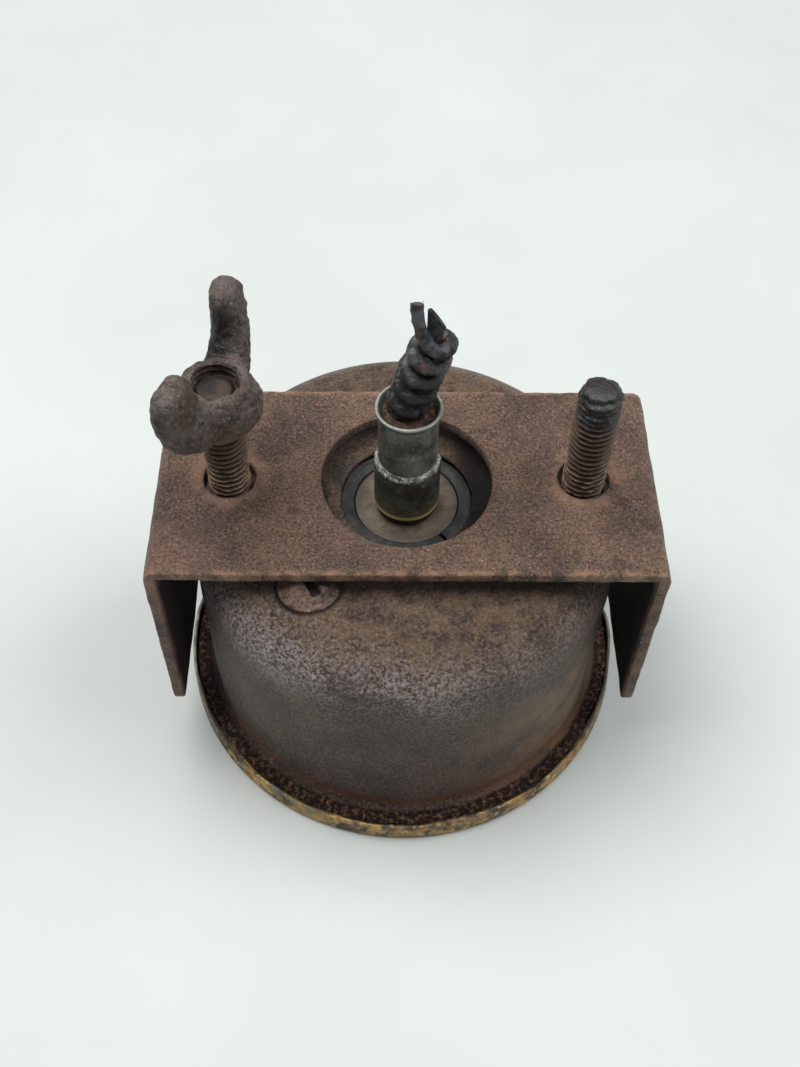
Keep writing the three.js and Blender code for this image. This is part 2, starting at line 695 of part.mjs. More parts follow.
const headRadius = 3.6;
const headHeight = 1.5;
const headSlot = 0.9;
backScrewPlaces.forEach(([x, y], i) => {
  const sphere = (headRadius ** 2 + headHeight ** 2) / (2 * headHeight);
  const dome = [];
  for (let k = 0; k <= 8; k += 1) {
    const r = headRadius * (1 - k / 8);
    dome.push([r, caseBack + headHeight - sphere + Math.sqrt(sphere ** 2 - r ** 2)]);
  }
  const screw = turned([
    [0, bridgeFront - 1.5], [backScrewShank, bridgeFront - 1.5], [backScrewShank, caseBack], ...dome,
  ], 32);
  const slotBlank = new THREE.BoxGeometry(2 * headRadius + 2, headSlot, 2);
  slotBlank.translate(0, 0, caseBack + headHeight).rotateZ(THREE.MathUtils.degToRad(i * 90 - 35));
  const slot = solid(slotBlank);
  add(`back_screw_${i + 1}`, moved(cut(screw, slot), x, y), 'rust');
});

// ---------------------------------------------------------------- clamp bracket

const bracketInner = bracketHalfWidth - bracketSheet;
const innerBend = bendRadius - bracketSheet;
const strap = new THREE.Shape();
strap.moveTo(bracketHalfWidth, legBottom);
strap.absarc(bracketHalfWidth - bendRadius, plateTop - bendRadius, bendRadius, 0, Math.PI / 2);
strap.absarc(bendRadius - bracketHalfWidth, plateTop - bendRadius, bendRadius, Math.PI / 2, Math.PI);
strap.lineTo(-bracketHalfWidth, legBottom);
strap.lineTo(-bracketInner, legBottom);
strap.absarc(innerBend - bracketInner, plateBottom - innerBend, innerBend, Math.PI, Math.PI / 2, true);
strap.absarc(bracketInner - innerBend, plateBottom - innerBend, innerBend, Math.PI / 2, 0, true);
strap.lineTo(bracketInner, legBottom);
const strapOptions = { depth: bracketDepth, bevelEnabled: false, curveSegments: 6 };
const strapLength = new THREE.ExtrudeGeometry(strap, strapOptions);
strapLength.rotateX(Math.PI / 2).translate(0, bracketDepth / 2, 0);

// Seen from the side, the legs have rounded lower corners.
const legHalf = bracketDepth / 2;
const legFace = roundedRectangle(-legHalf, legBottom, legHalf, plateTop + 10, legCornerRadius);
const legOptions = { depth: 4 * bracketHalfWidth, bevelEnabled: false };
const legBlank = new THREE.ExtrudeGeometry(legFace, legOptions);
legBlank.rotateX(Math.PI / 2).rotateZ(Math.PI / 2).translate(-2 * bracketHalfWidth, 0, 0);

const studHole = hole(studRadius + studClearance, plateBottom - 2, plateTop + 2, 32);
const bracketHoles = [
  rod(bracketHoleRadius, plateBottom - 2, plateTop + 2, RIM),
  ...studPlaces.map(([, x]) => moved(studHole, x, 0)),
];
add('clamp_bracket', cut(solid(strapLength).intersect(solid(legBlank)), ...bracketHoles), 'rust');

// ---------------------------------------------------------------- wing nut

const nutBody = turned([
  [0, 0], [wingNutFootRadius, 0], [wingNutRadius, 1.9], [wingNutRadius - 0.4, 3.2],
  [wingNutTopRadius, wingNutBody], [0, wingNutBody],
], 32);
const wing = new THREE.Shape();
wing.moveTo(1.0, 0.9);
wing.lineTo(3.9, 0.9);
wing.bezierCurveTo(6.6, 1.4, wingSpan - 0.6, 4.6, wingSpan, 8.6);
wing.bezierCurveTo(wingSpan + 0.3, 11.6, wingSpan - 0.9, wingNutHeight, wingSpan - 2.3, wingNutHeight);
wing.bezierCurveTo(wingSpan - 4.0, wingNutHeight, wingSpan - 4.4, 10.8, wingSpan - 5.0, 8.4);
wing.bezierCurveTo(wingSpan - 5.6, 6.4, 3.8, wingNutBody - 0.1, 3.0, wingNutBody - 0.1);
wing.lineTo(1.0, wingNutBody - 0.1);
const rounding = 0.7;
const wingPlate = new THREE.ExtrudeGeometry(wing, {
  depth: wingThickness - 2 * rounding,
  bevelThickness: rounding,
  bevelSize: rounding,
  bevelOffset: -rounding,
  bevelSegments: 2,
  curveSegments: 5,
});
wingPlate.translate(0, 0, rounding - wingThickness / 2).rotateX(Math.PI / 2);
const oneWing = solid(wingPlate);
const wingNut = cut(
  join(nutBody, oneWing, oneWing.rotate([0, 0, 180])),
  hole(studRadius + running, -1, wingNutBody + 1, ROUND),
);
add('wing_nut', moved(wingNut.rotate([0, 0, wingAngle]), -studOffset, 0, wingNutBase), 'castIron');

// ---------------------------------------------------------------- pointer

const pointerFront = glassRear + 1.5;
const pointerRest = THREE.MathUtils.degToRad(90 - sectorSwing * sectorRatio / 2);
const pointerLength = spacerInner - 4.5;
const pointerTail = 6.5;
const pointerHub = 2.0;
const blade = prism(polygon([
  [-pointerTail, -1.1],
  [-pointerTail, 1.1],
  [0, 0.9],
  [pointerLength - 2, 0.45],
  [pointerLength, 0],
  [pointerLength - 2, -0.45],
  [0, -0.9],
]), pointerFront, pointerFront + 0.4);
const hub = turned([
  [0, pointerHubFront], [pointerHub - 0.4, pointerHubFront], [pointerHub, pointerFront],
  [pointerHub, dialFront - 0.4], [0, dialFront - 0.4],
], SMALL);
const pointer = cut(join(blade, hub), hole(arborRadius + 0.02, 0, dialRear));
add('pointer', pointer.rotate([0, 0, THREE.MathUtils.radToDeg(pointerRest)]), 'enamel');

export default group;
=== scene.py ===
"""Looks for the panel dial gauge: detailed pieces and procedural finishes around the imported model.

Lengths in this file are millimetres; MM turns them into Blender's metres when a mesh is made.
"""

import json
import math

import bmesh
import bpy
import numpy as np
from mathutils import Matrix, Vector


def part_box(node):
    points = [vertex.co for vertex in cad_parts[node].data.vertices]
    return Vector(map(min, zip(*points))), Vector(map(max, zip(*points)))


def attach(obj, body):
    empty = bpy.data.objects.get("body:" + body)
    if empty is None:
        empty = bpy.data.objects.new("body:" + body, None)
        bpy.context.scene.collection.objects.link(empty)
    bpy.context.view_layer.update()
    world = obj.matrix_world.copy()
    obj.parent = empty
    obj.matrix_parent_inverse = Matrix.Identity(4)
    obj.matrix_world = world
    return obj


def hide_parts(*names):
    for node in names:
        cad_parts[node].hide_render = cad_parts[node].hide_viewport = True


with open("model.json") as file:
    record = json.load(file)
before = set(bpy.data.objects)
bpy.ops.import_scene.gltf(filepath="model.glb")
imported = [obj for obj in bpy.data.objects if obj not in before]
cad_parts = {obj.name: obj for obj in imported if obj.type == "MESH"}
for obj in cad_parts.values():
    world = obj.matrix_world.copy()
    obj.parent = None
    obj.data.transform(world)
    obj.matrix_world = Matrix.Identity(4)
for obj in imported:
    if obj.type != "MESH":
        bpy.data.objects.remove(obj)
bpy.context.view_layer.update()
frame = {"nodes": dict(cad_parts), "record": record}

MM = 0.001
TAU = 2 * math.pi


def span(node):
    """Lowest and highest corner of a CAD node, in millimetres."""
    low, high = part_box(node)
    return np.array(low) / MM, np.array(high) / MM


# ------------------------------------------------------------------ sizes from the frame

case_low, case_high = span("case_shell")
_, bezel_high = span("bezel_ring")
bracket_low, bracket_high = span("clamp_bracket")
stud_low, stud_high = span("stud_right")
nut_low, nut_high = span("wing_nut")
_, collar_high = span("fitting_collar")
sleeve_low, sleeve_high = span("ferrule_sleeve")
boss_low, boss_high = span("boss_disc")
seal_low, seal_high = span("seal_ring")
_, armour_high = span("armour_spiral")
plug_low, plug_high = span("sealing_plug")
stub_low, stub_high = span("capillary_tube")
dial_low, _ = span("dial_plate")
screw_low, screw_high = span("back_screw_2")

SHEET = 0.8  # the case's wall
FLANGE_WIDTH = 2.3
FLANGE_RADIUS = case_high[0]
CASE_RADIUS = FLANGE_RADIUS - FLANGE_WIDTH
CASE_BACK = case_high[2]
FLANGE_TOP = case_low[2] + SHEET
BEZEL_RADIUS = bezel_high[0]
BEZEL_TOP = bezel_high[2]
SEAL_RADIUS = seal_high[0]
SCREW_X, SCREW_Y = (screw_low[0] + screw_high[0]) / 2, (screw_low[1] + screw_high[1]) / 2
STUD_X = (stud_low[0] + stud_high[0]) / 2
STUD_RADIUS = (stud_high[0] - stud_low[0]) / 2
STUD_TOP = stud_high[2]
NO_TAR = 90.0  # a height above everything
THREAD_PITCH = 0.8
THREAD_DEPTH = 0.42
PLATE_TOP = bracket_high[2]
PLATE_SHEET = 1.5  # the bracket's strap
STUD_HOLE_RADIUS = 2.95
CENTRE_HOLE_RADIUS = 9.85
HALF_WIDTH = bracket_high[0]
HALF_DEPTH = bracket_high[1]
LEG_BOTTOM = bracket_low[2]
BOSS_RADIUS = boss_high[0]
BOSS_TOP = boss_high[2]
COLLAR_FOOT = BOSS_TOP + 0.9
COLLAR_TOP = collar_high[2]
SLEEVE_RADIUS = 3.4
SLEEVE_TOP = sleeve_high[2]
MOUTH = plug_high[2]  # where the armour leaves the sleeve
WIRE_RADIUS = 0.8
COIL_RADIUS = 1.8
COIL_PITCH = 2.2
COIL_Y = 0.4
LEAN, LEAN_HEIGHT = 2.3, 8.8  # how far the armour leans to +X, and over what height
TAR_TOP = MOUTH + 6.4
DIAL_FRONT = dial_low[2]


# ------------------------------------------------------------------ mesh making

def ripple(points, size, seed, waves=14):
    """Smooth noise about -1..1: a sum of sines along random directions, with wavelengths near size."""
    rng = np.random.default_rng(seed)
    direction = rng.normal(size=(waves, 3))
    direction /= np.linalg.norm(direction, axis=1, keepdims=True)
    waves_per_mm = TAU / (size * rng.uniform(0.6, 1.6, (waves, 1)))
    phase = rng.uniform(0, TAU, waves)
    return np.sin(points @ (direction * waves_per_mm).T + phase).sum(axis=-1) / math.sqrt(waves)


def linked(name, data):
    """An object at the origin that shows a mesh, a text, a lamp or a lens, in the scene."""
    obj = bpy.data.objects.new(name, data)
    bpy.context.scene.collection.objects.link(obj)
    return obj


def new_object(name, vertices, faces, smooth_angle=40):
    """An object at the origin from vertices in millimetres, smooth below an angle in degrees."""
    mesh = bpy.data.meshes.new(name)
    mesh.from_pydata((np.asarray(vertices, float) * MM).tolist(), [], faces)
    mesh.update()
    obj = linked(name, mesh)
    tidy_mesh(obj, smooth_angle)
    return obj


def tidy_mesh(obj, smooth_angle=40, merge=1e-6):
    """Merges vertices nearer than merge metres, turns the faces outwards and smooths below an angle."""
    shape = bmesh.new()
    shape.from_mesh(obj.data)
    bmesh.ops.remove_doubles(shape, verts=shape.verts, dist=merge)
    bmesh.ops.dissolve_degenerate(shape, edges=shape.edges, dist=1e-8)
    bmesh.ops.recalc_face_normals(shape, faces=shape.faces)
    shape.to_mesh(obj.data)
    shape.free()
    mesh = obj.data
    mesh.polygons.foreach_set("use_smooth", np.ones(len(mesh.polygons), bool))
    mesh.set_sharp_from_angle(angle=math.radians(smooth_angle))
    mesh.update()


def grid_faces(rows, columns, wrap_rows, wrap_columns):
    """Quads between neighbours of a rows by columns grid, as an array of corner numbers."""
    i = np.arange(rows if wrap_rows else rows - 1)[:, None]
    j = np.arange(columns if wrap_columns else columns - 1)[None, :]
    next_i, next_j = (i + 1) % rows, (j + 1) % columns
    corners = [i * columns + j, i * columns + next_j, next_i * columns + next_j, next_i * columns + j]
    return np.stack(np.broadcast_arrays(*corners), -1).reshape(-1, 4)


def surface(name, points, wrap_rows=False, wrap_columns=True, caps=False, smooth_angle=40):
    """A grid of points as an object. With caps, the first and last rows are filled."""
    rows, columns, _ = points.shape
    faces = grid_faces(rows, columns, wrap_rows, wrap_columns).tolist()
    if caps:
        faces += [list(range(columns))[::-1], list(range((rows - 1) * columns, rows * columns))]
    return new_object(name, points.reshape(-1, 3), faces, smooth_angle)


def rounded(corners, closed=False, steps=6):
    """A profile through (r, z, fillet) corners: each corner becomes a curve tangent to both its sides.

    The curve starts fillet / tan(half the inside angle) before the corner, at most half a side, and ends
    as far after it: start * (1 - t)^2 + corner * 2 t (1 - t) + end * t^2."""
    places = np.array([c[:2] for c in corners], float)
    radii = [c[2] for c in corners]
    half_side = 0.49
    line = []
    count = len(corners)
    for k, radius in enumerate(radii):
        here = places[k]
        if radius <= 0 or (not closed and k in (0, count - 1)):
            line.append(here)
            continue
        back = places[k - 1] - here
        ahead = places[(k + 1) % count] - here
        back_length, ahead_length = np.linalg.norm(back), np.linalg.norm(ahead)
        back, ahead = back / back_length, ahead / ahead_length
        inside = math.acos(np.clip(back @ ahead, -1, 1))
        reach = min(radius / math.tan(inside / 2), half_side * back_length, half_side * ahead_length)
        t = np.linspace(0, 1, steps + 1)[:, None]
        start, end = here + back * reach, here + ahead * reach
        line.extend(start * (1 - t) ** 2 + here * 2 * t * (1 - t) + end * t ** 2)
    return np.array(line)


def denser(profile, step, closed=False):
    """The same profile with points no further apart than step."""
    ends = np.roll(profile, -1, axis=0) if closed else profile[1:]
    out = []
    for a, b in zip(profile if closed else profile[:-1], ends):
        n = max(1, int(np.ceil(np.linalg.norm(b - a) / step)))
        out.append(a + (b - a) * (np.arange(n) / n)[:, None])
    out = np.concatenate(out)
    return out if closed else np.vstack([out, profile[-1]])


def turned(profile, segments):
    """Points of a profile turned round Z: x = r cos a, y = r sin a, one row for each profile point."""
    angle = np.linspace(0, TAU, segments, endpoint=False)
    r, z = profile[:, :1], profile[:, 1:2]
    flat = np.ones_like(angle)[None, :]
    return np.stack([r * np.cos(angle)[None, :], r * np.sin(angle)[None, :], z * flat], -1)


def swept(path, radius, sides, reference=(0.0, 0.0, 1.0)):
    """A tube round a path: point + radius * (cos a * normal + sin a * binormal).

    The normal is the tangent crossed with a reference direction."""
    tangent = np.gradient(path, axis=0)
    tangent /= np.linalg.norm(tangent, axis=1, keepdims=True)
    normal = np.cross(tangent, np.broadcast_to(np.array(reference), tangent.shape))
    normal /= np.linalg.norm(normal, axis=1, keepdims=True)
    binormal = np.cross(tangent, normal)
    angle = np.linspace(0, TAU, sides, endpoint=False)[None, :, None]
    radius = np.broadcast_to(np.asarray(radius, float), (len(path),))[:, None, None]
    ring = np.cos(angle) * normal[:, None, :] + np.sin(angle) * binormal[:, None, :]
    return path[:, None, :] + radius * ring


def swell(points, scale):
    """Moves a grid of points away from Z by a factor for each, or towards it where that is below 1."""
    points[..., 0] *= scale
    points[..., 1] *= scale


def vertex_array(obj):
    """An object's vertices in millimetres."""
    flat = np.empty(len(obj.data.vertices) * 3, np.float32)
    obj.data.vertices.foreach_get("co", flat)
    return flat.reshape(-1, 3).astype(float) / MM


def set_vertices(obj, points):
    """Puts vertices back from millimetres."""
    obj.data.vertices.foreach_set("co", (points * MM).astype(np.float32).ravel())
    obj.data.update()


def pushed(obj, amounts):
    """An object's vertices, each moved along its normal by its own amount."""
    normals = np.empty(len(obj.data.vertices) * 3, np.float32)
    obj.data.vertices.foreach_get("normal", normals)
    return vertex_array(obj) + normals.reshape(-1, 3) * amounts[:, None]


def roughen(obj, amount, size, seed):
    """Moves each vertex along its normal by amount times ripple noise of a size."""
    set_vertices(obj, pushed(obj, amount * ripple(vertex_array(obj), size, seed)))


def paint(obj, name, values):
    """Keeps one number for each vertex as an attribute."""
    attribute = obj.data.attributes.new(name, "FLOAT", "POINT")
    attribute.data.foreach_set("value", np.asarray(values, np.float32))


def final_mesh(obj):
    """The mesh that an object's modifiers or text come to."""
    return bpy.data.meshes.new_from_object(obj.evaluated_get(bpy.context.evaluated_depsgraph_get()))


def settle(obj):
    """Turns an object's modifiers into its mesh."""
    done = final_mesh(obj)
    obj.modifiers.clear()
    obj.data = done


def carve(obj, cutters):
    """Cuts the shapes of other objects out of one, and removes them."""
    for cutter in cutters:
        modifier = obj.modifiers.new("cut", "BOOLEAN")
        modifier.operation = "DIFFERENCE"
        modifier.solver = "EXACT"
        modifier.object = cutter
    settle(obj)
    for cutter in cutters:
        bpy.data.objects.remove(cutter)


def fuse(name, parts, voxel, smoothing):
    """One skin over overlapping closed parts: joined, remeshed in cubes of a size, then smoothed."""
    shape = bmesh.new()
    for part in parts:
        shape.from_mesh(part.data)
    mesh = bpy.data.meshes.new(name)
    shape.to_mesh(mesh)
    shape.free()
    obj = linked(name, mesh)
    for part in parts:
        bpy.data.objects.remove(part)
    remesh = obj.modifiers.new("skin", "REMESH")
    remesh.mode = "VOXEL"
    remesh.voxel_size = voxel * MM
    smooth = obj.modifiers.new("smooth", "SMOOTH")
    smooth.factor = 0.5
    smooth.iterations = smoothing
    settle(obj)
    tidy_mesh(obj, 60)
    return obj


# ------------------------------------------------------------------ shader maths

class Value:
    """A socket that can be used in Python arithmetic: each operator adds a Math node."""

    def __init__(self, graph, socket):
        self.graph = graph
        self.socket = socket

    def __add__(self, other):
        return self.graph.maths("ADD", self, other)

    def __radd__(self, other):
        return self.graph.maths("ADD", self, other)

    def __sub__(self, other):
        return self.graph.maths("SUBTRACT", self, other)

    def __rsub__(self, other):
        return self.graph.maths("SUBTRACT", other, self)

    def __mul__(self, other):
        return self.graph.maths("MULTIPLY", self, other)

    def __rmul__(self, other):
        return self.graph.maths("MULTIPLY", self, other)

    def __pow__(self, other):
        return self.graph.maths("POWER", self, other)

    def __abs__(self):
        return self.graph.maths("ABSOLUTE", self)

    def at_least(self, other):
        """The larger of the two."""
        return self.graph.maths("MAXIMUM", self, other)


class Graph:
    """A material's nodes, made by one method. Its x, y, z and place are millimetres from the origin."""

    def __init__(self, name):
        self.material = bpy.data.materials.new(name)
        self.material.use_nodes = True
        self.tree = self.material.node_tree
        self.tree.nodes.clear()
        self.output = self.node("ShaderNodeOutputMaterial", {}, {}, None)
        coordinates = self.node("ShaderNodeTexCoord", {}, {}, "Object")
        scaled = {"Vector": coordinates, "Scale": 1 / MM}
        self.place = self.node("ShaderNodeVectorMath", {"operation": "SCALE"}, scaled)
        split = self.node("ShaderNodeSeparateXYZ", {}, {"Vector": self.place}, None)
        self.x, self.y, self.z = (Value(self, split.outputs[k]) for k in range(3))

    def node(self, kind, settings, inputs, output=0):
        """Adds a node, sets it, then gives its inputs numbers, colours or links."""
        made = self.tree.nodes.new(kind)
        for key, value in settings.items():
            setattr(made, key, value)
        for key, value in inputs.items():
            socket = made.inputs[key]
            if isinstance(value, Value):
                self.tree.links.new(value.socket, socket)
            elif isinstance(value, (tuple, list)):
                room = len(socket.default_value)
                socket.default_value = (tuple(value) + (1.0,))[:room]
            else:
                socket.default_value = value
        return made if output is None else Value(self, made.outputs[output])

    def maths(self, operation, *terms):
        """A Math node on values and numbers."""
        return self.node("ShaderNodeMath", {"operation": operation}, dict(enumerate(terms)))

    def noise(self, size, detail=4.0, roughness=0.6, distortion=0.0, place=None):
        """Fractal noise 0..1 whose largest blots are about size across, in millimetres."""
        inputs = {"Vector": place or self.place, "Scale": 1 / size, "Detail": detail,
                  "Roughness": roughness, "Distortion": distortion}
        return self.node("ShaderNodeTexNoise", {}, inputs, "Fac")

    def cells(self, size):
        """Distance to the nearest of scattered points about size apart, in cells."""
        inputs = {"Vector": self.place, "Scale": 1 / size}
        return self.node("ShaderNodeTexVoronoi", {}, inputs, "Distance")

    def rise(self, value, low, high):
        """0 below low, 1 above high, smooth between."""
        inputs = {"Value": value, "From Min": low, "From Max": high}
        return self.node("ShaderNodeMapRange", {"interpolation_type": "SMOOTHSTEP"}, inputs)

    def mix(self, amount, a, b):
        """Colour a where the amount is 0 and b where it is 1."""
        inputs = {0: amount, 6: a, 7: b}
        return self.node("ShaderNodeMix", {"data_type": "RGBA"}, inputs, 2)

    def attribute(self, name):
        """The numbers that paint() kept under a name."""
        return self.node("ShaderNodeAttribute", {"attribute_name": name}, {}, "Fac")

    def radius(self):
        """Distance from the gauge's axis."""
        return (self.x * self.x + self.y * self.y) ** 0.5

    def bump(self, height, depth):
        """A normal from a height 0..1 that stands for depth millimetres."""
        inputs = {"Height": height, "Strength": 1.0, "Distance": depth * MM}
        return self.node("ShaderNodeBump", {}, inputs)

    def finish(self, lift=1.0, **sockets):
        """The closing shader: every keyword is one of its sockets, with spaces as underscores.

        Lift multiplies the base colour."""
        inputs = {key.replace("_", " "): value for key, value in sockets.items()}
        if lift != 1:
            scaled = {"Vector": inputs["Base Color"], "Scale": lift}
            inputs["Base Color"] = self.node("ShaderNodeVectorMath", {"operation": "SCALE"}, scaled)
        shader = self.node("ShaderNodeBsdfPrincipled", {}, inputs)
        self.tree.links.new(shader.socket, self.output.inputs["Surface"])
        return self.material


def srgb(*display):
    """A colour given as 0..255 display values, as linear light: a power curve, straight where very dark."""
    shares = [value / 255 for value in display]
    return tuple(((c + 0.055) / 1.055) ** 2.4 if c > 0.0404 else c / 12.92 for c in shares)


# ------------------------------------------------------------------ finishes

def rust_layers(g, grain=0.55):
    """Brown rust: slow blots of warm and purple brown, fine dark grains and scattered tan specks."""
    blots = g.noise(9.0, 5.0, 0.65)
    small = g.noise(2.2, 5.0, 0.7)
    fine = g.noise(grain, 4.0, 0.75)
    specks = g.noise(0.33, 2.0, 0.6)
    colour = g.mix(g.rise(blots, 0.35, 0.65), srgb(58, 46, 40), srgb(84, 67, 54))
    colour = g.mix(g.rise(small, 0.42, 0.7) * 0.6, colour, srgb(68, 54, 53))
    colour = g.mix(g.rise(small, 0.42, 0.3) * 0.5, colour, srgb(36, 27, 25))
    colour = g.mix(g.rise(fine, 0.52, 0.38) * 0.75, colour, srgb(24, 18, 16))
    colour = g.mix(g.rise(fine, 0.54, 0.68) * 0.55, colour, srgb(116, 96, 80))
    spot = g.rise(specks, 0.63, 0.72) * g.rise(small, 0.42, 0.6)
    colour = g.mix(spot * 0.7, colour, srgb(168, 112, 74))
    height = fine + small * 0.35 + specks * 0.4
    return colour, height, blots, small, fine


def mirrored_distance(g, x, y):
    """Distance along the back from the nearest place at x and y, taken on every side of the axis."""
    return ((abs(g.x) - x) ** 2.0 + (abs(g.y) - y) ** 2.0) ** 0.5


def rusted_case():
    """Case sheet: rust with a painted grey highlight on the shoulder, an orange line at the foot, a dark
    wet flange whose darkness is partly painted shade and whose pale flecks are painted glints, and painted
    shadows in the bracket's centre hole and round the back screws.
    """
    g = Graph("rusted_case")
    colour, height, blots, small, fine = rust_layers(g, 0.4)
    radius = g.radius()
    # painted highlight: a grey streak painted on the shoulder band and on the lit left and near side
    lit_left_side = g.rise(g.x * -0.9 - g.y * 0.4, -9.0, 17.0)
    band = g.rise(g.z, CASE_BACK - 10.7, CASE_BACK - 4.2) * g.rise(g.z, CASE_BACK + 0.2, CASE_BACK - 2.2)
    painted_sheen = (band * (0.3 + 0.7 * lit_left_side) + lit_left_side * 0.25) * g.rise(blots, 0.25, 0.6)
    wall = g.rise(g.z, CASE_BACK - 6.2, CASE_BACK - 13.2)
    colour = g.mix(wall * 0.3, colour, srgb(46, 36, 30))
    # the grey colour mixed in here is the painted shoulder highlight
    colour = g.mix(painted_sheen * g.rise(fine, 0.44, 0.62) * 0.7, colour, srgb(126, 123, 127))
    sandy = g.rise(g.x, 4.0, 20.0) * g.rise(g.z, CASE_BACK - 7.2, CASE_BACK - 15.2)
    sandy = sandy * g.rise(blots, 0.35, 0.6)
    colour = g.mix(sandy * 0.6, colour, srgb(124, 97, 74))
    olive = g.rise(g.z, CASE_BACK - 3.2, CASE_BACK - 0.2) * g.rise(small, 0.4, 0.6)
    colour = g.mix(olive * 0.35, colour, srgb(96, 80, 58))
    # painted shadow: the case back at the right of the bracket's centre hole is painted near black, as the
    # plate's cast shadow
    under_hole = g.rise(radius, 13.5, 12.0) * g.rise(g.z, CASE_BACK - 1.2, CASE_BACK - 0.6)
    hole_shadow = under_hole * g.rise(g.x + (small - 0.5) * 3.0, 3.5, 7.5) * g.rise(g.y, -9.0, -6.0)
    colour = g.mix(hole_shadow * 0.92, colour, srgb(9, 7, 6))
    screw_side = g.rise(g.x * g.y, 0.0, 20.0)
    screw_shadow = g.rise(mirrored_distance(g, SCREW_X, SCREW_Y), 4.3, 3.6) * screw_side
    colour = g.mix(screw_shadow * 0.85, colour, srgb(14, 10, 9))
    foot = g.rise(abs(g.z - (FLANGE_TOP + 1.1) + (small - 0.5) * 1.4), 1.0, 0.2)
    foot = foot * g.rise(radius, CASE_RADIUS + 1.2, CASE_RADIUS)
    colour = g.mix(foot * 0.55, colour, srgb(98, 54, 28))
    # the flange's dark crust is partly painted shade in the channel inside the bezel lip, and its pale
    # flecks are painted glints
    flange = g.rise(radius, CASE_RADIUS + 0.35, CASE_RADIUS + 0.9)
    flange = flange * g.rise(g.z, FLANGE_TOP + 1.6, FLANGE_TOP + 0.9)
    crust = g.noise(0.7, 5.0, 0.75)
    dark = g.mix(g.rise(crust, 0.48, 0.62), srgb(30, 21, 19), srgb(98, 72, 58))
    dark = g.mix(g.rise(crust, 0.62, 0.74), dark, srgb(150, 132, 122))
    colour = g.mix(flange, colour, dark)
    rough = 0.50 - painted_sheen * 0.18 - flange * 0.22 + (small - 0.5) * 0.2 - g.rise(fine, 0.5, 0.62) * 0.1
    bump = g.bump(height + flange * crust * 1.2, 0.85)
    return g.finish(
        lift=2.15, Base_Color=colour, Roughness=rough.at_least(0.2), Metallic=painted_sheen * 0.3, Normal=bump)


def rusted_bracket():
    """Bracket strap: rust with paler worn edges, a halo of dust round the stud holes and painted shade on
    the legs' inner faces.
    """
    g = Graph("rusted_bracket")
    colour, height, _, small, fine = rust_layers(g, 0.32)
    edge = g.rise(abs(g.y), HALF_DEPTH - 1.0, HALF_DEPTH - 0.2)
    worn = edge * g.rise(small, 0.4, 0.6)
    colour = g.mix(worn * 0.4, colour, srgb(136, 106, 82))
    stud_distance = mirrored_distance(g, STUD_X, 0.0)
    halo = g.rise(stud_distance, 5.4, 3.6) * g.rise(stud_distance, 2.9, 3.4) * g.rise(small, 0.3, 0.6)
    colour = g.mix(halo * 0.45, colour, srgb(120, 94, 78))
    legs = g.rise(g.z, PLATE_TOP - 2.0, PLATE_TOP - 5.0)
    colour = g.mix(legs * 0.4, colour, srgb(40, 31, 27))
    # painted shade: the legs' inner faces, in the gap beside the case, are painted near black
    inside = legs * g.rise(abs(g.x), HALF_WIDTH - PLATE_SHEET + 0.45, HALF_WIDTH - PLATE_SHEET + 0.15)
    inside = inside * g.rise(abs(g.y), HALF_DEPTH - 0.4, HALF_DEPTH - 1.6)
    colour = g.mix(inside * 0.97, colour, srgb(3, 2, 2))
    corner = g.rise(g.x * -1.0, 20.0, 28.0) * g.rise(g.y * -1.0, 4.0, 12.0)
    colour = g.mix(corner * 0.2, colour, srgb(78, 54, 54))
    rough = 0.56 - worn * 0.12 + (small - 0.5) * 0.2 - g.rise(fine, 0.5, 0.62) * 0.14 + inside * 0.3
    return g.finish(lift=3.0, Base_Color=colour, Roughness=rough, Metallic=0.1, Normal=g.bump(height, 0.7))


def rusted_screw():
    """Screw head: the same rust, darkened to near black in its slot."""
    g = Graph("rusted_screw")
    colour, height, *_ = rust_layers(g, 0.5)
    slot = g.attribute("slot")
    colour = g.mix(slot * 0.85, colour, srgb(18, 12, 10))
    return g.finish(lift=1.9, Base_Color=colour, Roughness=0.65, Metallic=0.1, Normal=g.bump(height, 0.3))


def corroded_brass():
    """Bezel: gold brown metal under dark crust and blue-green verdigris, in patches round the rim, with
    painted shade on the inside of the lip.
    """
    g = Graph("corroded_bezel")
    patches = g.noise(3.2, 5.0, 0.65, 0.4)
    small = g.noise(0.8, 5.0, 0.7)
    green = g.noise(2.1, 3.0, 0.6, 0.3)
    colour = g.mix(g.rise(patches, 0.40, 0.58), srgb(58, 42, 28), srgb(150, 118, 68))
    colour = g.mix(g.rise(small, 0.5, 0.66) * 0.7, colour, srgb(186, 160, 112))
    colour = g.mix(g.rise(small, 0.44, 0.32) * 0.8, colour, srgb(34, 28, 22))
    side = g.rise(g.x * -1.0, -2.0, 20.0) * 0.5 + 0.35
    colour = g.mix(g.rise(green, 0.55, 0.66) * side, colour, srgb(72, 92, 88))
    grey = g.rise(abs(g.x), BEZEL_RADIUS - 6.7, BEZEL_RADIUS - 1.2)
    colour = g.mix(grey * 0.7, colour, srgb(78, 84, 82))
    # painted shade: the inside face of the lip, in the groove beside the case flange, is painted near black
    inner = g.rise(g.radius(), BEZEL_RADIUS - 0.22, BEZEL_RADIUS - 0.42) * g.rise(g.z, 0.6, 0.9)
    colour = g.mix(inner * 0.7, colour, srgb(24, 18, 15))
    metal = g.rise(patches, 0.42, 0.6) * 0.8
    rough = 0.62 - metal * 0.28
    bump = g.bump(small + patches * 0.5, 0.16)
    return g.finish(lift=1.5, Base_Color=colour, Roughness=rough, Metallic=metal, Normal=bump)


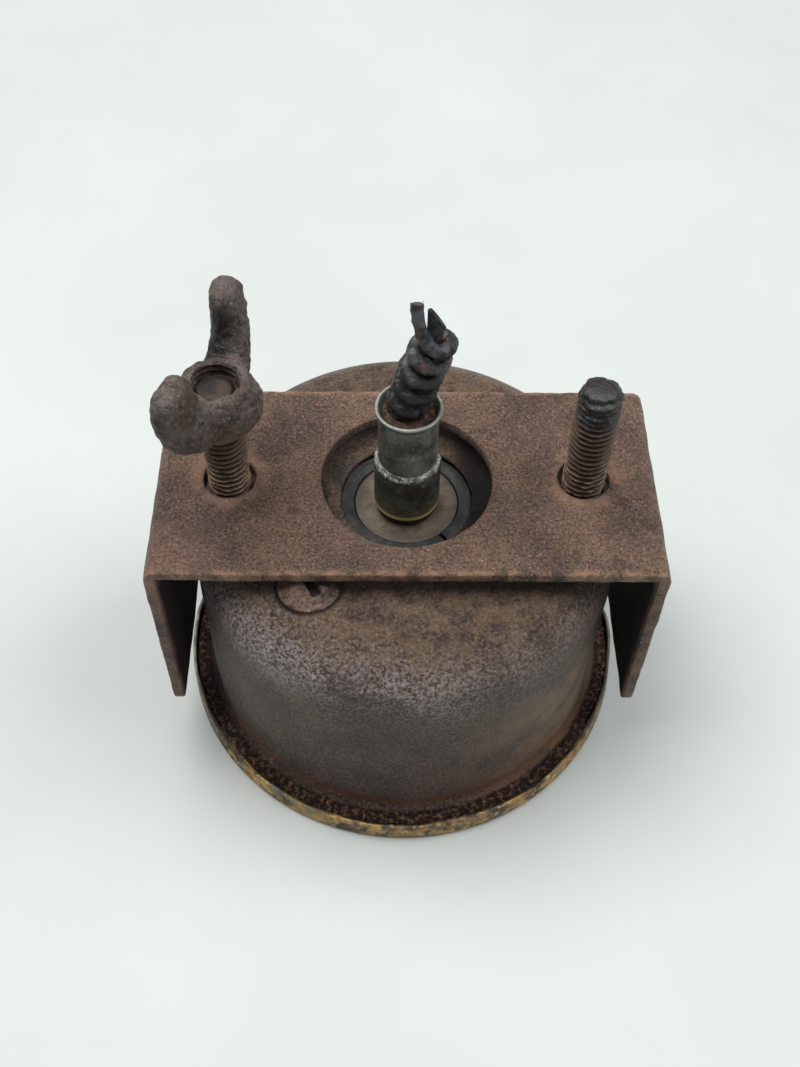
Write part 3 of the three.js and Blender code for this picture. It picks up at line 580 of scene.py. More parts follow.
def cast_nut():
    """Wing nut: rough casting, dark grey brown, with black hollows, tan specks and one oily black patch."""
    g = Graph("cast_nut")
    large = g.noise(4.0, 5.0, 0.65)
    small = g.noise(1.1, 5.0, 0.7)
    fine = g.noise(0.35, 3.0, 0.7)
    colour = g.mix(g.rise(large, 0.4, 0.62), srgb(52, 41, 35), srgb(66, 59, 57))
    colour = g.mix(g.rise(small, 0.5, 0.34) * 0.85, colour, srgb(20, 16, 15))
    colour = g.mix(g.rise(fine, 0.55, 0.7) * 0.5, colour, srgb(120, 104, 90))
    patch = g.rise(g.y + (small - 0.5) * 2.0, 2.6, 4.2) * g.rise(g.x + STUD_X, 2.2, 0.4)
    patch = patch * g.rise(g.z + (large - 0.5) * 3.0, nut_low[2] + 11.6, nut_low[2] + 9.6)
    colour = g.mix(patch * 0.92, colour, srgb(11, 10, 10))
    low = g.rise(g.z, nut_low[2] + 3.4, nut_low[2] + 0.4)
    colour = g.mix(low * 0.5, colour, srgb(98, 76, 62))
    hole = ((g.x + STUD_X) ** 2.0 + g.y * g.y) ** 0.5
    colour = g.mix(g.rise(hole, STUD_RADIUS + 0.15, STUD_RADIUS - 0.15) * 0.7, colour, srgb(24, 17, 14))
    rough = 0.66 - g.rise(small, 0.5, 0.7) * 0.16 - patch * 0.3
    height = small * 0.9 + fine * 0.45 + large * 0.3
    return g.finish(lift=1.9, Base_Color=colour, Roughness=rough, Metallic=0.2, Normal=g.bump(height, 0.42))


def threaded_rust(name, tar_from):
    """Stud: rusty grooves, paler rubbed crests near the plate, and black tar above a height."""
    g = Graph(name)
    crest = g.attribute("crest")
    small = g.noise(0.9, 5.0, 0.7)
    fine = g.noise(0.3, 3.0, 0.7)
    colour = g.mix(g.rise(crest, 0.25, 0.9), srgb(17, 12, 10), srgb(74, 58, 46))
    near_plate = g.rise(g.z, PLATE_TOP + 6.0, PLATE_TOP + 1.0)
    rubbed = g.rise(crest, 0.75, 1.0) * near_plate * g.rise(small, 0.4, 0.6)
    colour = g.mix(rubbed, colour, srgb(150, 126, 98))
    colour = g.mix(g.rise(small, 0.5, 0.35) * 0.6, colour, srgb(46, 30, 22))
    tar = g.rise(g.z + (small - 0.5) * 4.0, tar_from - 1.4, tar_from + 0.4)
    colour = g.mix(tar * 0.95, colour, srgb(12, 11, 11))
    colour = g.mix(tar * g.rise(fine, 0.56, 0.7) * 0.6, colour, srgb(88, 78, 70))
    colour = g.mix(g.rise(g.z, STUD_TOP - 0.7, STUD_TOP - 0.2) * 0.7, colour, srgb(16, 13, 11))
    rough = 0.62 - tar * 0.22
    metal = (1 - tar) * 0.35
    bump = g.bump(small * 0.6 + fine * 0.5, 0.16)
    return g.finish(lift=1.9, Base_Color=colour, Roughness=rough, Metallic=metal, Normal=bump)


def tarnished_fitting():
    """Fitting: dark grey-green metal, fine scratches, brass at the foot edge, rough silver on the bevel,
    painted shade on the neck under the foot.
    """
    g = Graph("tarnished_fitting")
    cloud = g.noise(3.4, 5.0, 0.65)
    small = g.noise(0.7, 5.0, 0.75)
    turned_long = {"Vector": g.place, "Rotation": (0.5, 0.9, 0.4), "Scale": (1.0, 0.12, 1.0)}
    tall = g.node("ShaderNodeMapping", {}, turned_long)
    scratch = g.noise(0.28, 2.0, 0.5, 0.0, tall)
    colour = g.mix(g.rise(cloud, 0.35, 0.65), srgb(46, 47, 42), srgb(84, 87, 82))
    collar = g.rise(g.z, COLLAR_TOP - 0.4, COLLAR_TOP - 0.9)
    colour = g.mix(collar * 0.6, colour, srgb(34, 31, 25))
    colour = g.mix(g.rise(small, 0.54, 0.74) * 0.55, colour, srgb(134, 137, 130))
    scratches = g.rise(scratch, 0.68, 0.76) * g.rise(cloud, 0.45, 0.6)
    colour = g.mix(scratches * 0.7, colour, srgb(156, 158, 152))
    brass = g.rise(abs(g.z - COLLAR_FOOT - 0.35), 0.75, 0.15)
    brass_soft = g.rise(g.z, COLLAR_FOOT + 4.0, COLLAR_FOOT)
    colour = g.mix(brass_soft * 0.45, colour, srgb(82, 72, 44))
    colour = g.mix(brass * 0.85, colour, srgb(170, 150, 98))
    # painted shade: the neck under the collar foot, shaded by the collar, is painted dark
    below = g.rise(g.z, COLLAR_FOOT + 0.02, COLLAR_FOOT - 0.1)
    colour = g.mix(below, colour, srgb(26, 22, 18))
    bevel = g.rise(abs(g.z - COLLAR_TOP + 0.3), 0.55, 0.2)
    bevel = bevel * g.rise(g.radius(), SLEEVE_RADIUS + 0.02, SLEEVE_RADIUS + 0.15)
    colour = g.mix(bevel * g.rise(small, 0.44, 0.62) * 0.8, colour, srgb(160, 160, 152))
    lip = g.rise(g.z, SLEEVE_TOP - 0.5, SLEEVE_TOP - 0.15)
    colour = g.mix(lip * 0.5, colour, srgb(112, 114, 106))
    rough = 0.42 + (cloud - 0.5) * 0.3 + below * 0.3 + bevel * 0.1
    metal = 0.5 - below * 0.4
    bump = g.bump(small + scratch * 0.3 + bevel * small * 2.0, 0.07)
    return g.finish(lift=2.4, Base_Color=colour, Roughness=rough, Metallic=metal, Normal=bump)


def black_tar():
    """Tar: black, wet in places, crumbly, with small pale dots painted as glints."""
    g = Graph("black_tar")
    lumps = g.noise(0.9, 6.0, 0.75)
    crumbs_and_glints = g.cells(0.35)
    colour = g.mix(g.rise(lumps, 0.52, 0.7) * 0.8, srgb(17, 15, 15), srgb(60, 55, 54))
    # painted glints: pale dots at the crumb centres on the high lumps
    colour = g.mix(g.rise(crumbs_and_glints, 0.16, 0.05) * g.rise(lumps, 0.5, 0.6), colour, srgb(150, 148, 148))
    rough = 0.30 + g.rise(lumps, 0.4, 0.65) * 0.4
    bump = g.bump(lumps + crumbs_and_glints * 0.5, 0.5)
    return g.finish(Base_Color=colour, Roughness=rough, Metallic=0.0, Normal=bump)


def armour_metal():
    """Armour wire: dark grey metal with brown patches, tarred towards its foot."""
    g = Graph("armour_metal")
    cloud = g.noise(2.6, 5.0, 0.65)
    fine = g.noise(0.5, 5.0, 0.7)
    colour = g.mix(g.rise(cloud, 0.4, 0.6), srgb(34, 34, 36), srgb(70, 70, 73))
    brown = g.rise(g.noise(1.9, 2.0, 0.5), 0.55, 0.66)
    colour = g.mix(brown * 0.6, colour, srgb(88, 64, 50))
    colour = g.mix(g.rise(fine, 0.46, 0.34) * 0.7, colour, srgb(22, 21, 22))
    tar = g.rise(g.z + (cloud - 0.5) * 5.0, TAR_TOP + 1.2, TAR_TOP - 1.0)
    colour = g.mix(tar, colour, srgb(20, 18, 18))
    rough = (0.42 + (cloud - 0.5) * 0.4).at_least(0.22)
    metal = (1 - tar) * 0.6
    bump = g.bump(fine + cloud, 0.16)
    return g.finish(lift=1.7, Base_Color=colour, Roughness=rough, Metallic=metal, Normal=bump)


def perished_rubber():
    """Seal: grey-black rubber with radial cracks and dust, and painted shade on the faces of the open
    crack.
    """
    g = Graph("perished_rubber")
    angle = g.maths("ARCTAN2", g.y, g.x)
    dust = g.noise(1.6, 5.0, 0.7)
    crack = g.attribute("crack")
    colour = g.mix(g.rise(dust, 0.42, 0.7), srgb(18, 19, 19), srgb(48, 47, 43))
    fine = g.noise(0.5, 3.0, 0.6)
    round_axis = g.node("ShaderNodeCombineXYZ", {}, {0: angle * 9.0})
    between = g.rise(abs(g.noise(0.5, 2.0, 0.5, 0.0, round_axis) - 0.5), 0.0, 0.03)
    colour = g.mix((1 - between) * 0.5, colour, srgb(12, 12, 12))
    # painted shade: the faces at the open crack's ends are painted near black
    colour = g.mix(crack, colour, srgb(6, 5, 5))
    return g.finish(lift=1.2, Base_Color=colour, Roughness=0.72, Normal=g.bump(dust + fine * 0.5, 0.12))


def brown_disc():
    """Disc round the fitting: smooth grey brown, darker towards its rim."""
    g = Graph("brown_disc")
    cloud = g.noise(2.8, 5.0, 0.6)
    fine = g.noise(0.4, 3.0, 0.7)
    colour = g.mix(g.rise(cloud, 0.35, 0.7), srgb(58, 50, 42), srgb(92, 80, 67))
    rim = g.rise(g.radius(), BOSS_RADIUS - 1.5, BOSS_RADIUS)
    colour = g.mix(rim * 0.5, colour, srgb(36, 31, 27))
    colour = g.mix(g.rise(fine, 0.6, 0.72) * 0.3, colour, srgb(126, 110, 92))
    bump = g.bump(fine + cloud, 0.08)
    return g.finish(lift=1.3, Base_Color=colour, Roughness=0.55, Metallic=0.25, Normal=bump)


def brown_compound():
    """Compound in the fitting's mouth: crumbly dark brown."""
    g = Graph("brown_compound")
    lumps = g.noise(0.8, 6.0, 0.7)
    colour = g.mix(g.rise(lumps, 0.4, 0.62), srgb(24, 16, 12), srgb(74, 52, 37))
    return g.finish(lift=1.6, Base_Color=colour, Roughness=0.75, Normal=g.bump(lumps, 0.45))


def plain_metal(name, light, dark, roughness, stain=0.5):
    """Inner metal: brushed along one direction, with stains."""
    g = Graph(name)
    cloud = g.noise(5.0, 4.0, 0.6)
    along = g.node("ShaderNodeMapping", {}, {"Vector": g.place, "Scale": (0.08, 1.0, 1.0)})
    brushed = g.noise(0.12, 3.0, 0.6, 0.0, along)
    colour = g.mix(g.rise(cloud, 0.4, 0.75) * stain, light, dark)
    colour = g.mix(g.rise(brushed, 0.5, 0.8) * 0.3, colour, dark)
    rough = roughness + (brushed - 0.5) * 0.2 + (cloud - 0.5) * 0.15
    return g.finish(Base_Color=colour, Roughness=rough, Metallic=0.95, Normal=g.bump(brushed, 0.012))


def aged_paint(name, clean, stained, roughness):
    """Paint with a yellowed cloud and fine dust."""
    g = Graph(name)
    cloud = g.noise(12.0, 5.0, 0.65)
    dust = g.noise(0.5, 4.0, 0.7)
    colour = g.mix(g.rise(cloud, 0.45, 0.75) * 0.7, clean, stained)
    colour = g.mix(g.rise(dust, 0.62, 0.75) * 0.3, colour, stained)
    return g.finish(Base_Color=colour, Roughness=roughness + (cloud - 0.5) * 0.1, Normal=g.bump(dust, 0.01))


def clear_glass():
    """Lens: clear glass with a haze of dust that dulls its gloss."""
    g = Graph("clear_glass")
    haze = g.noise(7.0, 5.0, 0.65)
    rough = 0.03 + g.rise(haze, 0.45, 0.8) * 0.12
    alpha = 0.16 + g.rise(haze, 0.5, 0.85) * 0.12
    return g.finish(Base_Color=srgb(214, 222, 218), Roughness=rough, Alpha=alpha, IOR=1.5)


def black_rubber():
    """Gasket: black rubber with pale dust."""
    g = Graph("gasket_rubber")
    dust = g.noise(0.8, 4.0, 0.7)
    colour = g.mix(g.rise(dust, 0.45, 0.75), srgb(22, 22, 22), srgb(58, 56, 52))
    return g.finish(Base_Color=colour, Roughness=0.8, Normal=g.bump(dust, 0.05))


def pale_floor():
    """Painted board: near white, with faint clouds."""
    g = Graph("pale_board")
    cloud = g.noise(90.0, 4.0, 0.6)
    colour = g.mix(g.rise(cloud, 0.3, 0.7), srgb(188, 193, 190), srgb(195, 200, 197))
    return g.finish(Base_Color=colour, Roughness=0.55, Specular_IOR_Level=0.25)


# ------------------------------------------------------------------ case, bezel and screws

def make_case():
    """Drawn cup: a rounded profile turned round Z, with its radius and height moved by slow ripple noise.

    The back falls a quarter of a millimetre towards the shoulder. The inside isn't moved."""
    low = case_low[2]
    inner = CASE_RADIUS - SHEET
    fall = 0.25
    profile = rounded([
        (inner, low, 0.2),
        (FLANGE_RADIUS, low, 0.25),
        (FLANGE_RADIUS, FLANGE_TOP - 0.05, 0.3),
        (CASE_RADIUS - 0.05, FLANGE_TOP, 1.1),
        (CASE_RADIUS, CASE_BACK - fall, 8.2),
        (12.0, CASE_BACK - 0.02, 6.0),
        (SEAL_RADIUS + 0.05, CASE_BACK - 0.02, 0.3),
        (SEAL_RADIUS + 0.05, CASE_BACK - SHEET, 0.2),
        (inner, CASE_BACK - SHEET - fall, 7.4),
    ], closed=True, steps=16)
    points = turned(denser(profile, 0.9, closed=True), 240)
    obj = surface("case_cup", points, wrap_rows=True)
    place = vertex_array(obj)
    radius = np.hypot(place[:, 0], place[:, 1])
    outside = (radius > inner + 0.4) | (place[:, 2] > CASE_BACK - 0.5)
    push = 0.06 * ripple(place, 9.0, 3) + 0.03 * ripple(place, 2.6, 4)
    crusted = (place[:, 2] < FLANGE_TOP + 0.9) & (radius > CASE_RADIUS + 0.3)
    push = push + crusted * 0.10 * ripple(place, 1.3, 5)
    place[:, :2] *= (1 + np.where(outside, push - 0.12, 0) / np.maximum(radius, 1))[:, None]
    place[:, 2] += np.where(outside & (place[:, 2] > low + 0.3), push - 0.1, 0)
    place[:, 2] = np.clip(place[:, 2], low, CASE_BACK)
    set_vertices(obj, place)
    return obj


def make_bezel():
    """Thin ring: ripple noise lowers its lip and draws it in, as do two dents at the near left and right.

    A dent falls off round the rim as exp(-(angle / width)^2), and up the lip from nothing to all of it."""
    opening = CASE_RADIUS - SHEET - 2.0
    sheet = 0.5
    profile = rounded([
        (opening, 0.0, 0.12),
        (BEZEL_RADIUS, 0.0, 0.6),
        (BEZEL_RADIUS, BEZEL_TOP, 0.2),
        (BEZEL_RADIUS - sheet, BEZEL_TOP, 0.2),
        (BEZEL_RADIUS - sheet, sheet, 0.2),
        (opening, sheet, 0.12),
    ], closed=True, steps=4)
    points = turned(denser(profile, 0.5, closed=True), 360)
    angle = np.arctan2(points[..., 1], points[..., 0])
    rim = np.stack([np.cos(angle) * 9, np.sin(angle) * 9, 0 * angle], -1)
    up = np.clip((points[..., 2] - 0.8) / (BEZEL_TOP - 0.8), 0, 1)
    dent = np.exp(-((angle + 2.45) / 0.16) ** 2) + 0.7 * np.exp(-((angle + 0.62) / 0.1) ** 2)
    sway = 0.10 * ripple(rim, 5.0, 11) + 0.05 * ripple(rim, 1.6, 12) - 0.14 - 0.32 * dent
    drop = 0.20 * ripple(rim, 2.6, 13) + 0.10 * ripple(rim, 0.8, 14) - 0.32 - 0.5 * dent
    swell(points, 1 + up * np.minimum(sway, 0) / BEZEL_RADIUS)
    points[..., 2] += up * np.minimum(drop, 0)
    return surface("bezel_rim", points, wrap_rows=True)


def make_back_screw(name, node, turn):
    """Dome head as a height over a disc: a sphere's cap less a slot with soft sides, and a shank below."""
    low, high = span(node)
    x, y = (low[0] + high[0]) / 2, (low[1] + high[1]) / 2
    radius = (high[0] - low[0]) / 2
    rise = high[2] - CASE_BACK
    shank_radius, sunk = 1.4, CASE_BACK - 0.3
    half_slot, half_length, slot_depth = 0.62, 2.2, 0.95
    r = np.linspace(0.02, 1, 34)[:, None] * (radius - 0.05)
    angle = np.linspace(0, TAU, 96, endpoint=False)[None, :]
    px, py = r * np.cos(angle), r * np.sin(angle)
    sphere = (radius ** 2 + rise ** 2) / (2 * rise)
    height = rise - sphere + np.sqrt(sphere ** 2 - px ** 2 - py ** 2)
    across = np.abs(px * math.cos(turn) + py * math.sin(turn))
    along = np.abs(-px * math.sin(turn) + py * math.cos(turn))
    slot = np.clip((half_slot - across) / 0.2, 0, 1) * np.clip((half_length - along) / 0.3, 0, 1)
    place = np.stack([px + x, py + y, 0 * px], -1)
    bumps = 0.10 * ripple(place, 1.7, 21) + 0.05 * ripple(place, 0.7, 22)
    edge = np.clip((radius - r) / 0.5, 0, 1)
    height = np.minimum(height + (bumps - 0.1) * edge, rise) - slot * slot_depth
    top = np.stack([px + x, py + y, CASE_BACK + np.maximum(height, -0.05)], -1)
    skirt = top[-1:] * [1, 1, 0] + [0, 0, sunk]
    round_shank = [x + shank_radius * np.cos(angle), y + shank_radius * np.sin(angle), 0 * angle]
    shank = np.stack(round_shank, -1)
    points = np.concatenate([top, skirt, shank + [0, 0, sunk], shank + [0, 0, low[2] + 0.1]])
    obj = surface(name, points, caps=True, smooth_angle=50)
    paint(obj, "slot", np.concatenate([slot.ravel(), np.zeros(points[-3:, :, 0].size)]))
    return obj


# ------------------------------------------------------------------ bracket

def strap_path():
    """The strap's middle line as a U: up one leg, round two quarter bends and down the other."""
    half, top = HALF_WIDTH - PLATE_SHEET / 2, PLATE_TOP - PLATE_SHEET / 2
    bend = 1.15
    corners = [(-half, LEG_BOTTOM, 0), (-half, top, bend), (half, top, bend), (half, LEG_BOTTOM, 0)]
    return denser(rounded(corners, steps=8), 0.8)


def make_bracket():
    """Strap: a rounded-edged section carried along the U, narrowed over the leg ends by a quarter circle.

    The section is thinned too, over the last third of a millimetre of each leg. The stud holes and the
    centre hole are cut by turned cutters whose mouths flare, to round their edges."""
    line = strap_path()
    tangent = np.gradient(line, axis=0)
    tangent /= np.linalg.norm(tangent, axis=1, keepdims=True)
    normal = np.stack([-tangent[:, 1], tangent[:, 0]], -1)
    gap = np.concatenate([[0], np.cumsum(np.linalg.norm(np.diff(line, axis=0), axis=1))])
    from_end = np.minimum(gap, gap[-1] - gap)
    corner, thinned = 1.5, 0.35
    inset = corner - np.sqrt(np.maximum(corner ** 2 - np.maximum(corner - from_end, 0) ** 2, 0.0))
    half_sheet = PLATE_SHEET / 2
    section = denser(rounded([
        (HALF_DEPTH, half_sheet, 0.38), (-HALF_DEPTH, half_sheet, 0.38),
        (-HALF_DEPTH, -half_sheet, 0.38), (HALF_DEPTH, -half_sheet, 0.38),
    ], closed=True, steps=4), 0.9, closed=True)
    across = section[None, :, 0] * (1 - inset / HALF_DEPTH)[:, None]
    thin = np.clip(from_end / thinned, 0.35, 1)[:, None]
    off = section[None, :, 1] * thin
    x = line[:, None, 0] + normal[:, None, 0] * off
    z = line[:, None, 1] + normal[:, None, 1] * off
    obj = surface("bracket_strap", np.stack([x, across, z], -1), caps=True, smooth_angle=35)
    carve(obj, [
        hole_cutter("cutter_left", -STUD_X, STUD_HOLE_RADIUS),
        hole_cutter("cutter_middle", 0.0, CENTRE_HOLE_RADIUS),
        hole_cutter("cutter_right", STUD_X, STUD_HOLE_RADIUS),
    ])
    tidy_mesh(obj, 35, 2e-6)
    points = vertex_array(obj)
    wander = 0.035 * ripple(points, 7.0, 31) + 0.03 * ripple(points, 1.9, 32) - 0.05
    set_vertices(obj, np.clip(pushed(obj, wander), bracket_low, bracket_high))
    return obj


def hole_cutter(name, x, radius):
    """A cylinder through the plate, flared at each face in two straight steps, about a quarter circle."""
    flare, step_out, step_in, beyond = 0.28, 0.07, 0.09, 2.0
    wide, bottom = radius + flare, PLATE_TOP - PLATE_SHEET
    profile = np.array([
        (wide, bottom - beyond), (wide, bottom), (radius + step_out, bottom + step_in),
        (radius, bottom + flare), (radius, PLATE_TOP - flare), (radius + step_out, PLATE_TOP - step_in),
        (wide, PLATE_TOP), (wide, PLATE_TOP + beyond),
    ])
    points = turned(profile, 96 if radius > 5 else 48)
    points[..., 0] += x
    return surface(name, points, caps=True)


# ------------------------------------------------------------------ studs and wing nut

def thread_points(radius, depth, low, high, tip=1.5):
    """A screw thread as a grid over height and angle.

    Radius = crest radius less depth times a rounded tooth of the phase (z / pitch - angle / turn),
    and less a quarter ellipse, tip wide and chamfer tall, at the top.
    Also gives how near each point is to a crest, 0..1."""
    sides, steps_per_turn, chamfer = 48, 12, 1.2
    rows = int((high - low) / THREAD_PITCH * steps_per_turn) + 2
    z = np.linspace(low, high, rows)
    z = np.append(z[z < high - chamfer], high - chamfer * np.cos(np.linspace(0, math.pi / 2, 14)))[:, None]
    angle = np.linspace(0, TAU, sides, endpoint=False)[None, :]
    phase = (z / THREAD_PITCH - angle / TAU) % 1.0
    tooth = np.clip(np.abs(phase - 0.5) * 2 * 1.25 - 0.12, 0, 1)
    crest = 1 - tooth
    past = np.clip(1 - (high - z) / chamfer, 0, 1)
    r = radius - depth * tooth * (1 - past ** 2) - tip * (1 - np.sqrt(1 - past ** 2))
    points = np.stack([r * np.cos(angle), r * np.sin(angle), z + 0 * angle], -1)
    return points, crest * np.ones_like(r)


def make_stud(name, node, seed, tar_from):
    """Threaded stud, slightly worn: thread points pushed by noise, with lumps of tar above a height."""
    low, high = span(node)
    x = (low[0] + high[0]) / 2
    start = CASE_BACK - 0.15
    points, crest = thread_points(STUD_RADIUS, THREAD_DEPTH, start, high[2])
    place = points + [x, 0, 0]
    tarred = np.clip((place[..., 2] - tar_from) / 1.5, 0, 1)
    lumps = tarred * (0.16 * ripple(place, 0.9, seed + 2) - 0.02)
    wear = 1 + (0.05 * ripple(place, 1.6, seed) - 0.06 + np.minimum(lumps, 0.1)) / STUD_RADIUS
    swell(points, wear)
    reach = np.hypot(points[..., 0], points[..., 1])
    swell(points, np.minimum(1, (STUD_RADIUS - 0.01) / np.maximum(reach, 0.01)))
    points[..., 0] += x
    obj = surface(name, points, caps=True, smooth_angle=60)
    paint(obj, "crest", crest.ravel())
    return obj


def make_wing(turn, lean, rise_scale, girth):
    """One wing as sections along a bent middle line, each a squarish oval: |cos|^0.65 by |sin|^0.65.

    The middle line leaves the body outwards and curls up; the widths shrink to a round tip.
    Above its foot the wing leans to -X by lean times the height. Rise_scale and girth scale its height and
    the width in its own plane."""
    foot, tip_from, squareness = 3.0, 0.9, 0.65
    t = np.linspace(0, 1, 30)
    quarters = [0.0, 0.25, 0.5, 0.75, 1.0]
    reach = np.interp(t, quarters, [1.2, 4.9, 7.4, 8.15, 8.0])
    rise = np.interp(t, quarters, [2.6, 3.6, 6.0, 9.3, 12.6]) * rise_scale
    for _ in range(3):
        reach[1:-1] = (reach[:-2] + reach[1:-1] + reach[2:]) / 3
        rise[1:-1] = (rise[:-2] + rise[1:-1] + rise[2:]) / 3
    stations = [0, 0.3, 0.6, 0.85, 1.0]
    tip = np.sqrt(np.clip(1 - np.clip((t - tip_from) / (1 - tip_from), 0, 1) ** 3, 0.004, 1))
    wide = np.interp(t, stations, [1.7, 2.1, 2.4, 2.4, 1.9]) * girth * tip
    thick = np.interp(t, stations, [2.9, 2.2, 1.8, 1.6, 1.4]) * tip
    dr, dz = np.gradient(reach), np.gradient(rise)
    length = np.hypot(dr, dz)
    angle = np.linspace(0, TAU, 32, endpoint=False)[None, :]
    c, s = np.cos(angle), np.sin(angle)
    c, s = np.sign(c) * np.abs(c) ** squareness, np.sign(s) * np.abs(s) ** squareness
    rho = reach[:, None] + (dz / length * wide)[:, None] * c
    z = rise[:, None] - (dr / length * wide)[:, None] * c
    side = thick[:, None] * s
    x = rho * math.cos(turn) - side * math.sin(turn)
    y = rho * math.sin(turn) + side * math.cos(turn)
    return np.stack([x - STUD_X - lean * np.maximum(z - foot, 0), y, z + nut_low[2]], -1)


def make_wing_nut():
    """Casting: a squat turned body and two wings under one skin, lumpy, with a threaded bore.

    The bore's thread is wider than the stud's, so that the nut turns without crossing it."""
    bore_radius, bore_depth = STUD_RADIUS + 0.36, 0.27
    body = rounded([(0, 0.1, 0), (4.1, 0.1, 0.2), (4.95, 1.9, 0.9), (4.6, 3.3, 0.8),
                    (3.55, 5.58, 0.3), (0, 5.55, 0)], steps=5)
    points = turned(denser(body, 0.6)[1:-1], 64)
    points += np.array([-STUD_X, 0, nut_low[2]])
    parts = [surface("nut_body", points, caps=True)]
    far, near = make_wing(math.radians(80), 0.06, 0.95, 1.0), make_wing(math.radians(251), 0.05, 1.0, 1.22)
    parts += [surface("wing_far", far, caps=True), surface("wing_near", near, caps=True)]
    obj = fuse("wing_nut_casting", parts, 0.2, 6)
    roughen(obj, 0.06, 2.4, 41)
    roughen(obj, 0.05, 0.8, 42)
    bore, _ = thread_points(bore_radius, bore_depth, nut_low[2] - 1, nut_low[2] + 8, tip=0.0)
    bore[..., 0] -= STUD_X
    carve(obj, [surface("bore", bore, caps=True)])
    tidy_mesh(obj, 50)
    set_vertices(obj, np.clip(vertex_array(obj), nut_low, nut_high))
    return obj


# ------------------------------------------------------------------ fitting, seal and armour

def make_collar():
    """Lower collar: neck, cylinder and a hammered bevel, turned, with the bevel lumped by noise."""
    r, bore, stem, neck = collar_high[0], 1.3, 3.0, 3.6
    profile = rounded([
        (bore, BOSS_TOP - 1.2, 0), (stem, BOSS_TOP - 1.2, 0.05), (stem, BOSS_TOP, 0.05),
        (neck, BOSS_TOP + 0.02, 0.1), (neck, COLLAR_FOOT, 0.1), (r - 0.22, COLLAR_FOOT + 0.02, 0.08),
        (r - 0.02, COLLAR_FOOT + 0.4, 0.3), (r - 0.04, COLLAR_TOP - 0.75, 0.3),
        (SLEEVE_RADIUS + 0.15, COLLAR_TOP - 0.02, 0.2), (SLEEVE_RADIUS - 0.1, COLLAR_TOP - 0.02, 0.05),
        (SLEEVE_RADIUS - 0.2, COLLAR_TOP - 1.5, 0.05), (bore, COLLAR_TOP - 1.5, 0),
    ], closed=True, steps=4)
    points = turned(denser(profile, 0.35, closed=True), 128)
    radius = np.hypot(points[..., 0], points[..., 1])
    bevel = np.exp(-((points[..., 2] - COLLAR_TOP + 0.4) / 0.45) ** 2) * (radius > SLEEVE_RADIUS)
    push = -0.05 + bevel * (0.11 * ripple(points, 0.9, 51) - 0.06) + 0.02 * ripple(points, 3.0, 52)
    swell(points, 1 + np.minimum(push, 0) / np.maximum(radius, 1))
    return surface("collar_lower", points, wrap_rows=True)


def make_sleeve():
    """Upper sleeve: thin, with a flared lip that is slightly out of round."""
    bottom, lip, bore, spigot = sleeve_low[2] + 5.0, sleeve_high[0], 1.3, 2.6
    outer, inner = SLEEVE_RADIUS - 0.02, SLEEVE_RADIUS - 0.42
    profile = rounded([
        (bore, bottom, 0), (spigot - 0.05, bottom, 0.05), (spigot, COLLAR_TOP - 0.1, 0.02),
        (outer, COLLAR_TOP - 0.1, 0.1), (outer, SLEEVE_TOP - 1.0, 0.7),
        (lip - 0.03, SLEEVE_TOP - 0.2, 0.12), (lip - 0.08, SLEEVE_TOP, 0.1), (lip - 0.36, SLEEVE_TOP, 0.1),
        (inner, SLEEVE_TOP - 0.8, 0.3), (inner - 0.03, plug_low[2], 0.05), (bore, plug_low[2] - 0.01, 0),
    ], closed=True, steps=5)
    points = turned(denser(profile, 0.35, closed=True), 144)
    radius = np.hypot(points[..., 0], points[..., 1])
    flared = 1.2
    high = np.clip((points[..., 2] - SLEEVE_TOP + flared) / flared, 0, 1)
    push = -0.02 + high * (0.04 * ripple(points, 4.0, 53) - 0.05) + 0.012 * ripple(points, 1.6, 54)
    swell(points, 1 + np.minimum(push, 0) / np.maximum(radius, 1))
    points[..., 2] -= high * 0.06 * (1 + ripple(points, 3.0, 55)).clip(0, 2) * 0.5
    return surface("sleeve_upper", points, wrap_rows=True)


def make_boss():
    """Disc: nearly flat, dished a little round the neck."""
    bore, outer = 3.08, BOSS_RADIUS - 0.02
    profile = rounded([
        (bore, boss_low[2], 0), (outer, boss_low[2], 0.05), (outer, BOSS_TOP, 0.15),
        (4.4, BOSS_TOP - 0.02, 0.3), (bore, BOSS_TOP - 0.06, 0),
    ], closed=True, steps=3)
    return surface("boss_plate", turned(denser(profile, 0.4, closed=True), 96), wrap_rows=True)


def make_seal():
    """Perished ring: a flat bead whose top rolls, split by one open crack at the near right."""
    inner, outer = BOSS_RADIUS + 0.04, SEAL_RADIUS
    low, top = seal_low[2], seal_high[2]
    profile = denser(rounded([
        (inner, low, 0), (outer, low, 0.05), (outer, top - 0.15, 0.2),
        ((inner + outer) / 2, top, 0.5), (inner, top - 0.12, 0.2),
    ], closed=True, steps=4), 0.25, closed=True)
    gap = math.radians(1.6)
    crack_at = math.radians(-52)
    angle = np.linspace(crack_at + gap, crack_at + TAU - gap, 200)
    r, z, turn = profile[None, :, 0], profile[None, :, 1], angle[:, None]
    points = np.stack([r * np.cos(turn), r * np.sin(turn), z + 0 * turn], -1)
    lift = np.clip((points[..., 2] - low) / (top - low), 0, 1)
    points[..., 2] += lift * (0.05 * ripple(points, 2.0, 61) - 0.07)
    edge = np.minimum(angle - angle[0], angle[-1] - angle)
    obj = surface("seal_bead", points, caps=True)
    # how near each point is to the open crack, for the painted shade there
    shade = np.exp(-(edge / 0.03) ** 2)
    paint(obj, "crack", np.repeat(shade, len(profile)))
    return obj


